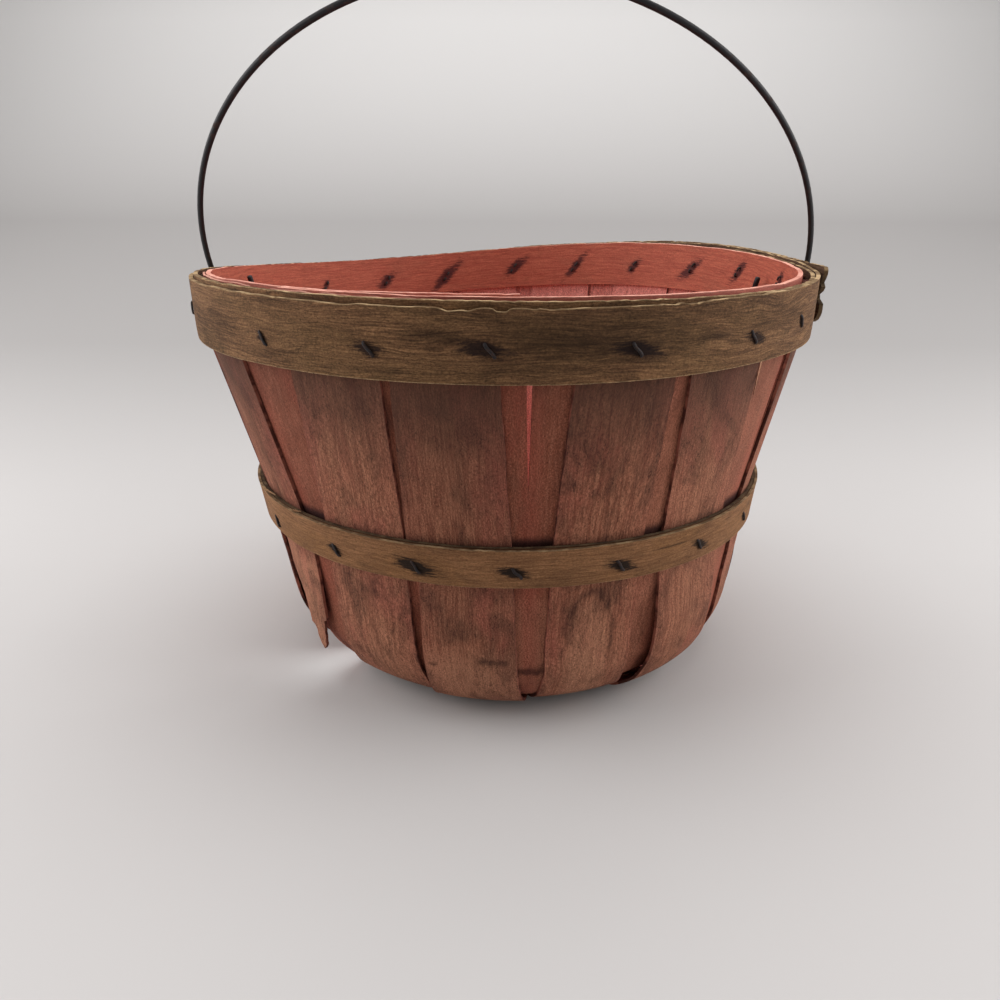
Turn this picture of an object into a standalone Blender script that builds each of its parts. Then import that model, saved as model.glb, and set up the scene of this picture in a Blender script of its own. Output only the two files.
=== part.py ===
"""Peck apple basket of bent veneer: crossing staves, stapled hoops and a wire bail.

Metres, +Z up. The origin is on the underside of the lowest stave, where the staves cross.
Azimuths are in degrees from the front (-Y) towards the right (+X).
"""
import math

import bpy
import bmesh
from mathutils import Vector

# Veneer and the room left between pieces that touch
fit_gap = 0.0003
stave_thickness = 0.0012
top_hoop_thickness = 0.00175
inner_hoop_thickness = 0.0020
mid_hoop_thickness = 0.0013

# Staves: width at the rim, and their ends below the rim
stave_width_rim = 0.0385
stave_top_drop = 0.0030

# Outer face of the basket, from the flat base up to the rim
basket_height = 0.1890
crossing_radius = 0.0620
base_radius = 0.0840
corner_width = 0.0370
corner_height = 0.0460
lower_wall_radius = 0.1228
mid_hoop_wall_radius = 0.1255
rim_wall_radius = 0.1414
rim_flare = 0.0005

# Hoops: bands of veneer wound over themselves
top_hoop_width = 0.0257
top_hoop_ply_step = 0.0020
top_hoop_side_rise = 0.0018
side_rise_from = 10.0
side_rise_until = 120.0
side_rise_ramp = 38.0
inner_hoop_width = 0.0240
inner_hoop_stand = 0.0013
inner_hoop_tilt = 0.0014
inner_hoop_high_azimuth = 15.0
mid_hoop_width = 0.0172
mid_hoop_bottom = 0.0770
top_hoop_start = 118.0
top_hoop_sweep = 759.5
inner_hoop_start = -36.0
inner_hoop_sweep = 398.0
mid_hoop_start = 171.0
mid_hoop_sweep = 747.0
lap_ramp = 24.0
hoop_step = 6.5

# The top hoop's outer end has sprung away from the rim
sprung_sweep = 32.0
sprung_lift = 0.0038
sprung_rise = 0.0012
sprung_power = 3

# How the old basket has settled, measured at the rim
rim_lean = 0.0050
rim_tilt_side = 0.0013
rim_tilt_back = 0.0032
rim_twist = 0.0030
rim_twist_back = 0.0020
settle_power = 1.5

# Staples of flat wire, driven through and clinched inside
staple_wire = 0.0012
staple_reach = 0.0034
staple_slant = 0.0048
staple_clinch = 0.0020
clinch_clearance = 0.0006

# Bail of round wire, its ends hooked through the rim
bail_wire = 0.00267
bail_half_span = 0.1515
bail_rise = 0.1489
bail_offset_side = 0.0028
bail_side_lean = -0.052
bail_pivot_back = 0.0180
bail_pivot_height = 0.1766
bail_bend_radius = 0.0030
bail_hook_length = 0.0080
bail_hole_clearance = 0.0004
bail_hole_reach = 0.0400
bail_forward_lean = 37.1
bail_arc_points = 23
bail_corner_steps = 3

# Rim staples, each where it was driven: azimuth, height
rim_staples = (
    (-68.0, 0.1760),
    (-36.7, 0.1735),
    (-18.3, 0.1740),
    (-2.0, 0.1750),
    (17.6, 0.1745),
    (38.3, 0.1750),
    (53.6, 0.1768),
    (74.0, 0.1790),
    (89.5, 0.1815),
    (108.8, 0.1800),
    (124.9, 0.1780),
    (143.0, 0.1763),
    (160.0, 0.1755),
    (177.1, 0.1765),
    (196.0, 0.1745),
    (213.1, 0.1750),
    (232.0, 0.1750),
    (251.0, 0.1750),
    (273.0, 0.1755),
)

# Mid hoop staples: azimuth, height
mid_staples = (
    (-56.0, 0.0825),
    (-34.4, 0.0835),
    (-17.0, 0.0840),
    (1.2, 0.0840),
    (20.1, 0.0840),
    (38.8, 0.0845),
    (57.7, 0.0845),
    (78.2, 0.0845),
    (98.7, 0.0845),
    (119.2, 0.0845),
    (139.7, 0.0845),
    (160.2, 0.0845),
    (180.7, 0.0845),
    (201.2, 0.0845),
    (221.7, 0.0845),
    (242.2, 0.0845),
    (262.7, 0.0845),
    (283.2, 0.0845),
)

# Staves, lowest first where they cross: name, direction, azimuth of the front end at the rim,
# width from the waist down
outer_staves = (
    ("outer_stave_1", -9.8, -8.5, 0.0440),
    ("outer_stave_2", 41.0, 36.0, 0.0400),
    ("outer_stave_3", 86.6, 86.6, 0.0400),
    ("outer_stave_4", -54.4, -54.5, 0.0400),
    ("outer_stave_5", -30.3, -25.7, 0.0408),
    ("outer_stave_6", 16.0, 17.5, 0.0385),
    ("outer_stave_7", 67.0, 65.5, 0.0400),
    ("outer_stave_8", 106.0, 106.0, 0.0400),
)
inner_staves = (
    ("inner_stave_1", -36.0, -37.9, 0.0400),
    ("inner_stave_2", 4.3, 4.3, 0.0400),
    ("inner_stave_3", 45.8, 46.5, 0.0400),
    ("inner_stave_4", 86.0, 86.0, 0.0400),
    ("inner_stave_5", -16.0, -17.0, 0.0400),
    ("inner_stave_6", 26.0, 27.5, 0.0400),
    ("inner_stave_7", 66.0, 66.0, 0.0400),
    ("inner_stave_8", 106.0, 106.0, 0.0400),
)
broken_stave = "outer_stave_4"
# How far a stave's back end strays sideways at the rim, in degrees
back_leans = {"inner_stave_1": -3.2}
staves_per_shingle = 4
stave_columns = 4
corner_angles = (22.5, 45.0, 67.5)
# Places along the profile: how many lie on the flat base, and which one is the waist
base_stations = 3
waist_station = 6

# What is left of the broken stave's front end: the left edge that split away and the tip
split_width_low = 0.0255
split_tip_left = 0.0085
split_tip_right = 0.0115
split_tip_height = 0.0185
split_step_left = 0.0020
split_step_right = 0.0190
split_step_height = 0.0360
split_slope = 0.10
merge_below_mid_hoop = 0.0050

stave_pitch = stave_thickness + fit_gap
rim_bottom = basket_height - top_hoop_width
stave_top = basket_height - stave_top_drop
mid_hoop_top = mid_hoop_bottom + mid_hoop_width
merge_height = mid_hoop_bottom - merge_below_mid_hoop
shoulder_height = (mid_hoop_top + rim_bottom) / 2
shoulder_radius = (mid_hoop_wall_radius + rim_wall_radius) / 2


def settle(point):
    """Moves a point of the true-round basket to where age has brought it."""
    x, y, z = point
    share = max(z, 0.0) / basket_height
    lean = rim_lean * min(max(z, 0.0) / rim_bottom, 1.0)
    side = x / rim_wall_radius
    back = y / rim_wall_radius
    twist = 2 * side * back * (rim_twist + rim_twist_back * back)
    rise = (rim_tilt_side * side + rim_tilt_back * back + twist) * share ** settle_power
    return Vector((x - lean, y, z + rise))


def polar(azimuth, radius, height):
    angle = math.radians(azimuth)
    return Vector((radius * math.sin(angle), -radius * math.cos(angle), height))


def smooth_step(share):
    share = min(max(share, 0.0), 1.0)
    return share * share * (3 - 2 * share)


def material(name, color, roughness, metallic=0.0):
    mat = bpy.data.materials.new(name)
    mat.use_nodes = True
    shader = mat.node_tree.nodes["Principled BSDF"]
    shader.inputs["Base Color"].default_value = (*color, 1.0)
    shader.inputs["Roughness"].default_value = roughness
    shader.inputs["Metallic"].default_value = metallic
    return mat


def mesh_object(name, bm, mat):
    mesh = bpy.data.meshes.new(name)
    bmesh.ops.recalc_face_normals(bm, faces=bm.faces)
    bm.to_mesh(mesh)
    bm.free()
    if mat:
        mesh.materials.append(mat)
    obj = bpy.data.objects.new(name, mesh)
    bpy.context.collection.objects.link(obj)
    return obj


def loft(bm, sections):
    """Skins a run of closed sections with the same number of points, and caps both ends."""
    rings = [[bm.verts.new(point) for point in section] for section in sections]
    for low, high in zip(rings, rings[1:]):
        for i in range(len(low)):
            j = (i + 1) % len(low)
            bm.faces.new((low[i], low[j], high[j], high[i]))
    bm.faces.new(rings[0])
    bm.faces.new(rings[-1])


def corner_point(angle):
    """Point of the rounded corner between the base (0 degrees) and the wall (90 degrees)."""
    turn = math.radians(angle)
    return (base_radius + corner_width * math.sin(turn), corner_height * (1 - math.cos(turn)))


def mould_stations():
    """The outer profile as (radius, height) points, from the crossing up to the staves' tops."""
    waist_radius = base_radius + corner_width
    points = [(crossing_radius, 0.0), ((crossing_radius + base_radius) / 2, 0.0), (base_radius, 0.0)]
    points += [corner_point(angle) for angle in corner_angles]
    points += [(waist_radius, corner_height), (lower_wall_radius, merge_height)]
    points += [(mid_hoop_wall_radius, mid_hoop_top), (shoulder_radius, shoulder_height)]
    points += [(rim_wall_radius, rim_bottom), (rim_wall_radius + rim_flare, stave_top)]
    return points


def inward_normal(points, i):
    """Unit (radial, vertical) direction from the mould's face into the basket."""
    if points[i][1] == 0.0:
        return (0.0, 1.0)
    before = points[i - 1]
    after = points[min(i + 1, len(points) - 1)]
    run = after[0] - before[0]
    rise = after[1] - before[1]
    length = math.hypot(run, rise)
    return (-rise / length, run / length)


def wall_radius(height):
    """Radius of the staves' outer face at a height on the wall."""
    points = mould_stations()
    for (low_radius, low), (high_radius, high) in zip(points, points[1:]):
        if high > low and height <= high:
            share = (height - low) / (high - low)
            return low_radius + share * (high_radius - low_radius)
    return points[-1][0]


def path_lengths(points):
    lengths = [0.0]
    for before, after in zip(points, points[1:]):
        lengths.append(lengths[-1] + math.dist(before, after))
    return lengths


def stave_depths(order, points):
    """Distance of a stave's outer face from the mould at each station.

    The staves are stacked in order where they cross. Towards the corner they sink to four
    levels, so that neighbours shingle over each other, and above the waist to two layers.
    """
    level, layer = order // staves_per_shingle, order // (2 * staves_per_shingle)
    lengths = path_lengths(points)
    pile_end = base_stations - 1 + layer
    depths = []
    for i in range(len(points)):
        if i <= waist_station:
            piled = 1 - smooth_step(lengths[i] / lengths[pile_end])
            steps = level + (order - level) * piled
        else:
            steps = layer
        depths.append(steps * stave_pitch)
    return depths


def blend_to_rim(low, at_rim, height):
    """A value that changes evenly from the waist up to the rim."""
    share = min(max((height - corner_height) / (rim_bottom - corner_height), 0.0), 1.0)
    return low + (at_rim - low) * share


def stave_section(azimuth, side, left, right, station, normal, depth):
    """Cross-section of a stave: points over its outer face, and back over its inner face."""
    section = []
    for face_depth, columns in ((depth, range(stave_columns)),
                                (depth + stave_thickness, reversed(range(stave_columns)))):
        radius = station[0] + face_depth * normal[0]
        height = station[1] + face_depth * normal[1]
        for column in columns:
            across = left + (right - left) * column / (stave_columns - 1)
            turn = math.degrees(math.asin(across / radius))
            section.append(settle(polar(azimuth + side * turn, radius, height)))
    return section


def half_stave(order, azimuth, rim_azimuth, width, side):
    """Sections of one half of a stave, from the crossing up to the rim."""
    points = mould_stations()
    depths = stave_depths(order, points)
    sections = []
    for i, station in enumerate(points):
        half = blend_to_rim(width, stave_width_rim, station[1]) / 2
        here = blend_to_rim(azimuth, rim_azimuth, station[1])
        normal = inward_normal(points, i)
        sections.append(stave_section(here, side, -half, half, station, normal, depths[i]))
    return sections


def make_stave(name, order, direction, front_azimuth, width, mat):
    front = half_stave(order, direction, front_azimuth, width, 1)
    back_azimuth = direction + 180 + back_leans.get(name, 0.0)
    back = half_stave(order, direction + 180, back_azimuth, width, -1)
    if name == broken_stave:
        front = front[:base_stations]
    bm = bmesh.new()
    loft(bm, back[::-1] + front)
    return mesh_object(name, bm, mat)


def make_broken_end(mat):
    """The broken stave's front end, split along its left side and hanging straight."""
    direction, rim_azimuth, width = next(row[1:] for row in outer_staves if row[0] == broken_stave)
    points = mould_stations()
    radius, height = points[waist_station]
    hanging = [(radius - (height - low) * split_slope, low)
               for low in (split_tip_height, split_step_height)]
    points = hanging + points[waist_station:]
    split_edge = width / 2 - split_width_low
    lefts = {0: split_tip_left, 1: split_step_left, 2: split_edge, 3: split_edge}
    rights = {0: split_tip_right, 1: split_step_right}
    sections = []
    for i, station in enumerate(points):
        half = blend_to_rim(width, stave_width_rim, station[1]) / 2
        here = blend_to_rim(direction, rim_azimuth, station[1])
        normal = inward_normal(points, i) if i else inward_normal(points, 1)
        sections.append(stave_section(here, 1, lefts.get(i, -half), rights.get(i, half),
                                      station, normal, 0.0))
    bm = bmesh.new()
    loft(bm, sections)
    return mesh_object("broken_stave_end", bm, mat)


def hoop_layer(travel, sweep):
    """Which layer a wound hoop is on after a given travel, with a ramp at each full turn."""
    layer = 0.0
    full_turn = 360.0
    while full_turn <= sweep:
        layer += smooth_step((travel - full_turn + lap_ramp) / lap_ramp)
        full_turn += 360.0
    return layer


def hoop_section(azimuth, wall_offset, bottom, top, thickness, outward):
    """Rectangular section of a band: wall_offset is the face nearest to the staves."""
    far_offset = wall_offset + outward * thickness
    corners = ((wall_offset, bottom), (far_offset, bottom), (far_offset, top), (wall_offset, top))
    return [settle(polar(azimuth, wall_radius(height) + offset, height))
            for offset, height in corners]


def sprung_share(travel):
    """0 where the top hoop lies tight, 1 at its outer end."""
    free = (travel - (top_hoop_sweep - sprung_sweep)) / sprung_sweep
    return max(free, 0.0) ** sprung_power


def top_hoop_offset(travel):
    layers = hoop_layer(travel, top_hoop_sweep) * (top_hoop_thickness + fit_gap)
    return fit_gap + layers + sprung_lift * sprung_share(travel)


def inner_hoop_offset(travel):
    behind_staves = 2 * stave_pitch
    layers = hoop_layer(travel, inner_hoop_sweep) * (inner_hoop_thickness + fit_gap)
    return -(behind_staves + layers)


def mid_hoop_offset(travel):
    return fit_gap + hoop_layer(travel, mid_hoop_sweep) * (mid_hoop_thickness + fit_gap)


def wind(name, start, turn, sweep, section_at, mat):
    """Winds a band from its start azimuth: turn is +1 or -1, sweep is its whole travel."""
    count = round(sweep / hoop_step)
    bm = bmesh.new()
    loft(bm, [section_at(start + turn * sweep * i / count, sweep * i / count)
              for i in range(count + 1)])
    return mesh_object(name, bm, mat)


def side_rise(azimuth):
    """How much higher the top hoop's outer turns sit round the right side."""
    away = (azimuth + 180) % 360 - 180
    climb = smooth_step((away - side_rise_from) / side_rise_ramp)
    fall = smooth_step((away - side_rise_until) / side_rise_ramp)
    return top_hoop_side_rise * (climb - fall)


def top_hoop_section(azimuth, travel):
    front = (1 + math.cos(math.radians(azimuth))) / 2
    first_turn = 1 - min(hoop_layer(travel, top_hoop_sweep), 1.0)
    step = top_hoop_ply_step * front * first_turn
    rise = side_rise(azimuth) * (1 - first_turn) + sprung_rise * sprung_share(travel)
    top = basket_height + step + rise
    return hoop_section(azimuth, top_hoop_offset(travel), top - top_hoop_width, top,
                        top_hoop_thickness, 1)


def inner_hoop_section(azimuth, travel):
    tilt = inner_hoop_tilt * math.cos(math.radians(azimuth - inner_hoop_high_azimuth))
    top = basket_height + inner_hoop_stand + tilt
    return hoop_section(azimuth, inner_hoop_offset(travel), top - inner_hoop_width, top,
                        inner_hoop_thickness, -1)


def mid_hoop_section(azimuth, travel):
    return hoop_section(azimuth, mid_hoop_offset(travel), mid_hoop_bottom, mid_hoop_top,
                        mid_hoop_thickness, 1)


def last_travel(azimuth, start, turn, sweep):
    """Travel of a wound hoop's last pass over an azimuth."""
    first = (turn * (azimuth - start)) % 360.0
    return first + 360.0 * math.floor((sweep - first) / 360.0)


def rim_staple_faces(azimuth, height):
    """Radii of the rim's outer and inner faces, where a staple sits and is clinched."""
    outer = top_hoop_offset(last_travel(azimuth, top_hoop_start, -1, top_hoop_sweep))
    inner = inner_hoop_offset(last_travel(azimuth, inner_hoop_start, 1, inner_hoop_sweep))
    wall = wall_radius(height)
    return wall + outer + top_hoop_thickness, wall + inner - inner_hoop_thickness


def mid_staple_faces(azimuth, height):
    outer = mid_hoop_offset(last_travel(azimuth, mid_hoop_start, -1, mid_hoop_sweep))
    wall = wall_radius(height)
    return wall + outer + mid_hoop_thickness, wall - 2 * stave_pitch


def staple_frame(azimuth):
    """Directions at an azimuth: along the staple's crown, outwards, and across its wire."""
    tangent = polar(azimuth + 90.0, 1.0, 0.0)
    crown = (tangent * staple_reach - Vector((0, 0, staple_slant))).normalized()
    outwards = polar(azimuth, 1.0, 0.0)
    return crown, outwards, crown.cross(outwards)


def staple_span():
    return math.hypot(staple_reach, staple_slant)


def swept_square(origin, axes, path, half):
    """Sections of square wire along a flat path, mitred at its corners."""
    along, outwards, across = axes
    sections = []
    for i, point in enumerate(path):
        before = path[max(i - 1, 0)]
        after = path[min(i + 1, len(path) - 1)]
        come = Vector(point) - Vector(before)
        go = Vector(after) - Vector(point)
        come = come.normalized() if i else go.normalized()
        go = go.normalized() if i < len(path) - 1 else come
        middle = (come + go).normalized()
        mitre = Vector((-middle.y, middle.x)) * half / middle.dot(go)
        section = []
        for side, face in ((-1, -1), (1, -1), (1, 1), (-1, 1)):
            p, q = Vector(point) + mitre * side
            section.append(settle(origin + along * p + outwards * q + across * half * face))
        sections.append(section)
    return sections


def make_staple(name, azimuth, height, faces, mat):
    outer, inner = faces
    half = staple_wire / 2
    leg = staple_span() / 2
    seat = fit_gap + half
    end = inner - outer - clinch_clearance - half
    path = [(-leg + staple_clinch, end), (-leg, end), (-leg, seat), (leg, seat), (leg, end),
            (leg - staple_clinch, end)]
    bm = bmesh.new()
    loft(bm, swept_square(polar(azimuth, outer, height), staple_frame(azimuth), path, half))
    return mesh_object(name, bm, mat)


def add_leg_holes(bm, azimuth, height, faces):
    """Cutters for a staple's two legs, with the fit's gap round the wire."""
    outer, inner = faces
    beyond = 3 * staple_wire
    half = staple_wire / 2 + fit_gap
    for leg in (-staple_span() / 2, staple_span() / 2):
        path = [(leg, inner - outer - beyond), (leg, beyond)]
        loft(bm, swept_square(polar(azimuth, outer, height), staple_frame(azimuth), path, half))


def make_guide(name, bm):
    """A cutter: it shapes other pieces and is no piece itself."""
    guide = mesh_object(name, bm, None)
    guide.hide_render = True
    guide.display_type = "WIRE"
    return guide


def cut(obj, guides):
    for guide in guides:
        hole = obj.modifiers.new(guide.name, "BOOLEAN")
        hole.operation = "DIFFERENCE"
        hole.solver = "EXACT"
        hole.object = guide


def bail_centre_x():
    return bail_offset_side - rim_lean


def hook_x(side):
    """World X of the bail's hooked end, clear of the inner hoop as the hook turns."""
    reach = bail_pivot_back + bail_hook_length + bail_wire
    face = wall_radius(bail_pivot_height) - 2 * stave_pitch - inner_hoop_thickness - fit_gap
    room = math.sqrt(face ** 2 - reach ** 2) - bail_wire
    return side * room - rim_lean


def bend(corner, start, end):
    """Points of a quarter bend of the wire, from the direction start to the direction end."""
    corner, start, end = Vector(corner), Vector(start), Vector(end)
    centre = corner + (start + end) * bail_bend_radius
    points = []
    for i in range(bail_corner_steps + 1):
        angle = math.pi / 2 * i / bail_corner_steps
        points.append(centre - (end * math.cos(angle) + start * math.sin(angle)) * bail_bend_radius)
    return points


def bail_end(side):
    """The wire from its inner hook, out through the rim and up into the arch."""
    inside = hook_x(side)
    outside = bail_centre_x() + side * bail_half_span
    up = (0, 0, 1)
    points = [Vector((inside, 0, bail_hook_length))]
    points += bend((inside, 0, 0), up, (side, 0, 0))
    points += bend((outside, 0, 0), (-side, 0, 0), up)
    return points


def bail_arch():
    """The arch's points from the right end to the left, leaning a little to one side."""
    first = math.asin(2 * bail_bend_radius / bail_rise)
    points = []
    for i in range(bail_arc_points):
        angle = first + (math.pi - 2 * first) * i / (bail_arc_points - 1)
        height = bail_rise * math.sin(angle)
        lean = bail_side_lean * (height - 2 * bail_bend_radius)
        points.append(Vector((bail_centre_x() + bail_half_span * math.cos(angle) + lean, 0, height)))
    return points


def make_bail(mat):
    """The wire lies in its own upright plane, which is turned forward about the pivot."""
    points = bail_end(1) + bail_arch() + bail_end(-1)[::-1]
    curve = bpy.data.curves.new("wire_bail", "CURVE")
    curve.dimensions = "3D"
    curve.bevel_depth = bail_wire / 2
    curve.bevel_resolution = 2
    curve.use_fill_caps = True
    spline = curve.splines.new("POLY")
    spline.points.add(len(points) - 1)
    for target, point in zip(spline.points, points):
        target.co = (*point, 1.0)
    curve.materials.append(mat)
    bail = bpy.data.objects.new("wire_bail", curve)
    bail.location = (0, bail_pivot_back, bail_pivot_height)
    bail.rotation_euler = (math.radians(bail_forward_lean), 0, 0)
    bpy.context.collection.objects.link(bail)
    return bail


def make_bail_hole():
    """One round cutter along the pivot line, through both sides of the rim."""
    bm = bmesh.new()
    sides = 8
    radius = (bail_wire / 2 + bail_hole_clearance) / math.cos(math.pi / sides)
    reach = rim_wall_radius + bail_hole_reach
    sections = []
    for x in (-reach, reach):
        sections.append([Vector((x, bail_pivot_back + radius * math.cos(turn),
                                 bail_pivot_height + radius * math.sin(turn)))
                         for turn in (2 * math.pi * i / sides for i in range(sides))])
    loft(bm, sections)
    return make_guide("bail_hole_guide", bm)


def main():
    for obj in list(bpy.data.objects):
        bpy.data.objects.remove(obj, do_unlink=True)

    outer_veneer = material("weathered_red_veneer", (0.235, 0.080, 0.050), 0.75)
    inner_veneer = material("red_dyed_veneer", (0.420, 0.095, 0.065), 0.70)
    hoop_veneer = material("grey_brown_hoop_veneer", (0.165, 0.098, 0.052), 0.80)
    inner_hoop_veneer = material("coral_dyed_hoop_veneer", (0.560, 0.150, 0.110), 0.65)
    dark_steel = material("rusted_black_wire", (0.018, 0.016, 0.017), 0.55, 0.8)

    rim_holes = bmesh.new()
    for i, (azimuth, height) in enumerate(rim_staples):
        faces = rim_staple_faces(azimuth, height)
        make_staple(f"rim_staple_{i + 1}", azimuth, height, faces, dark_steel)
        add_leg_holes(rim_holes, azimuth, height, faces)
    mid_holes = bmesh.new()
    for i, (azimuth, height) in enumerate(mid_staples):
        faces = mid_staple_faces(azimuth, height)
        make_staple(f"mid_staple_{i + 1}", azimuth, height, faces, dark_steel)
        add_leg_holes(mid_holes, azimuth, height, faces)
    rim_guide = make_guide("rim_staple_guide", rim_holes)
    mid_guide = make_guide("mid_staple_guide", mid_holes)
    bail_guide = make_bail_hole()

    for order, (name, direction, front, width) in enumerate(outer_staves + inner_staves):
        mat = outer_veneer if order < len(outer_staves) else inner_veneer
        stave = make_stave(name, order, direction, front, width, mat)
        cut(stave, (rim_guide, mid_guide, bail_guide))
    cut(make_broken_end(outer_veneer), (rim_guide, mid_guide))

    top_hoop = wind("top_hoop", top_hoop_start, -1, top_hoop_sweep, top_hoop_section, hoop_veneer)
    cut(top_hoop, (rim_guide, bail_guide))
    inner_hoop = wind("inner_hoop", inner_hoop_start, 1, inner_hoop_sweep, inner_hoop_section,
                      inner_hoop_veneer)
    cut(inner_hoop, (rim_guide, bail_guide))
    mid_hoop = wind("mid_hoop", mid_hoop_start, -1, mid_hoop_sweep, mid_hoop_section, hoop_veneer)
    cut(mid_hoop, (mid_guide,))

    make_bail(dark_steel)


main()
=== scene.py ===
import math
from functools import partial

import bpy
import numpy as np
from mathutils import Matrix, Vector


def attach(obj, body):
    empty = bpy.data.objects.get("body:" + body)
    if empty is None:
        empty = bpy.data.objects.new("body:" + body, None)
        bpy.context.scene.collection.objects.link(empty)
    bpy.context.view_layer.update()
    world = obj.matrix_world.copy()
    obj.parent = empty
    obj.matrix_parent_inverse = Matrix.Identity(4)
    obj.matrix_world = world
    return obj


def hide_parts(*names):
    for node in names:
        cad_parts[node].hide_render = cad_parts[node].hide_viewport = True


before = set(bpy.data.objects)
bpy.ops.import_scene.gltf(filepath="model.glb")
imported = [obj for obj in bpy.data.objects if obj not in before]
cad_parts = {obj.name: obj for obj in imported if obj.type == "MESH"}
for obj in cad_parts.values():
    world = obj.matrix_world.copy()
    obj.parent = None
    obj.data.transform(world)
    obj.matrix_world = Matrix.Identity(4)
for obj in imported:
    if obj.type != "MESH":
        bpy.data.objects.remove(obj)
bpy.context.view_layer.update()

print("stage: frame loaded")

# Metres. Azimuths are degrees from the front (-Y) towards the right (+X).
basket = {
    "height": 0.1890, "veneer": 0.0012, "gap": 0.0003,
    # The profile that the staves are bent to, from where they cross up to the rim
    "crossingRadius": 0.0620, "baseRadius": 0.0840, "cornerWidth": 0.0370, "cornerHeight": 0.0460,
    "mergeHeight": 0.0720, "lowerWallRadius": 0.1228, "midHoopWallRadius": 0.1255,
    "rimBottom": 0.1633, "rimWallRadius": 0.1414, "rimFlare": 0.0005, "mouldTop": 0.205,
    # How far the rim has shifted to the left, tilted and twisted
    "rimLean": 0.0050, "tiltSide": 0.0013, "tiltBack": 0.0032, "twist": 0.0030, "twistBack": 0.0020,
    # From point to point along the profile, and how many points are averaged
    "pathStep": 0.0005, "smoothing": 17,
}
layerPitch = basket["veneer"] + basket["gap"]


def smoothStep(share):
    share = np.clip(share, 0.0, 1.0)
    return share * share * (3 - 2 * share)


def settle(points):
    # The old basket leans to one side, and its rim is tilted and twisted
    x, y, z = points[..., 0], points[..., 1], points[..., 2]
    up = np.clip(z, 0.0, None)
    side = x / basket["rimWallRadius"]
    back = y / basket["rimWallRadius"]
    twist = 2 * side * back * (basket["twist"] + basket["twistBack"] * back)
    rise = basket["tiltSide"] * side + basket["tiltBack"] * back + twist
    moved = points.copy()
    moved[..., 0] = x - basket["rimLean"] * np.minimum(up / basket["rimBottom"], 1.0)
    moved[..., 2] = z + rise * (up / basket["height"]) ** 1.5
    return moved


def polar(azimuth, radius, height):
    turn = np.radians(azimuth)
    flat = np.broadcast_arrays(radius * np.sin(turn), -radius * np.cos(turn), height)
    return np.stack(flat, axis=-1)


def makeMould():
    # The outer profile from the crossing's middle up past the rim, at even steps along it
    b = basket
    corner = [(b["baseRadius"] + b["cornerWidth"] * math.sin(math.radians(a)),
               b["cornerHeight"] * (1 - math.cos(math.radians(a)))) for a in (22.5, 45.0, 67.5)]
    waist = b["baseRadius"] + b["cornerWidth"]
    midTop = hoops["mid"]["bottom"] + hoops["mid"]["width"]
    shoulder = ((b["midHoopWallRadius"] + b["rimWallRadius"]) / 2, (midTop + b["rimBottom"]) / 2)
    top = b["rimWallRadius"] + b["rimFlare"]
    stations = np.array([
        (0.0, 0.0), (b["crossingRadius"], 0.0), (b["baseRadius"], 0.0), *corner,
        (waist, b["cornerHeight"]), (b["lowerWallRadius"], b["mergeHeight"]),
        (b["midHoopWallRadius"], midTop), shoulder, (b["rimWallRadius"], b["rimBottom"]),
        (top, b["height"] - 0.003), (top, b["mouldTop"]),
    ])
    lengths = np.r_[0.0, np.cumsum(np.hypot(*np.diff(stations, axis=0).T))]
    s = np.arange(0.0, lengths[-1], b["pathStep"])
    r, z = (np.interp(s, lengths, stations[:, k]) for k in (0, 1))
    window = np.ones(b["smoothing"]) / b["smoothing"]
    for _ in range(2):
        r, z = (np.convolve(np.pad(line, len(window) // 2, mode="reflect", reflect_type="odd"),
                            window, mode="valid") for line in (r, z))
    dr, dz = np.gradient(r), np.gradient(z)
    size = np.hypot(dr, dz)
    return {"s": s, "r": r, "z": z, "nr": -dz / size, "nz": dr / size, "at": lengths}


def wallRadius(height):
    return np.interp(height, mould["z"], mould["r"])


def alongAt(height):
    # Path length at which the wall, which starts past the flat base, reaches a height
    wall = mould["s"] > 0.09
    return np.interp(height, mould["z"][wall], mould["s"][wall])


def shortWay(azimuth, at):
    # Degrees from one azimuth to another, the shorter way round
    return (azimuth - at + 180.0) % 360.0 - 180.0


def waves(seed, at, length, count=6):
    # A smooth random line, about -1 to 1, with bumps of about that length
    rng = np.random.default_rng(seed)
    total = np.zeros_like(np.asarray(at, dtype=float))
    for _ in range(count):
        period = length * rng.uniform(0.5, 2.0)
        total += np.sin(2 * math.pi * np.asarray(at) / period + rng.uniform(0, 2 * math.pi))
    return total / math.sqrt(count * 2)


def flakes(seed, at, spacing, power=4.0):
    # Broken bits along an edge, 0 to 1: mostly shallow, now and then deep
    rng = np.random.default_rng(seed)
    span = float(np.max(at) - np.min(at))
    knots = np.sort(rng.uniform(0, span, max(int(span / spacing), 4))) + np.min(at)
    return np.interp(at, knots, rng.uniform(0, 1, len(knots)) ** power)


def makeMarks(shape, grain, place, stain=0.0, grime=0.0):
    # What a strip's material reads at each point. The grain is the way along, the way across and a
    # number of the piece's own. The place is how far from the middle, how high, and how much paler
    def grid(values):
        return np.stack([np.broadcast_to(value, shape) for value in values], axis=-1)

    return {"grain": grid(grain), "place": grid(place), "stain": np.broadcast_to(stain, shape),
            "grime": np.broadcast_to(grime, shape)}


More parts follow.
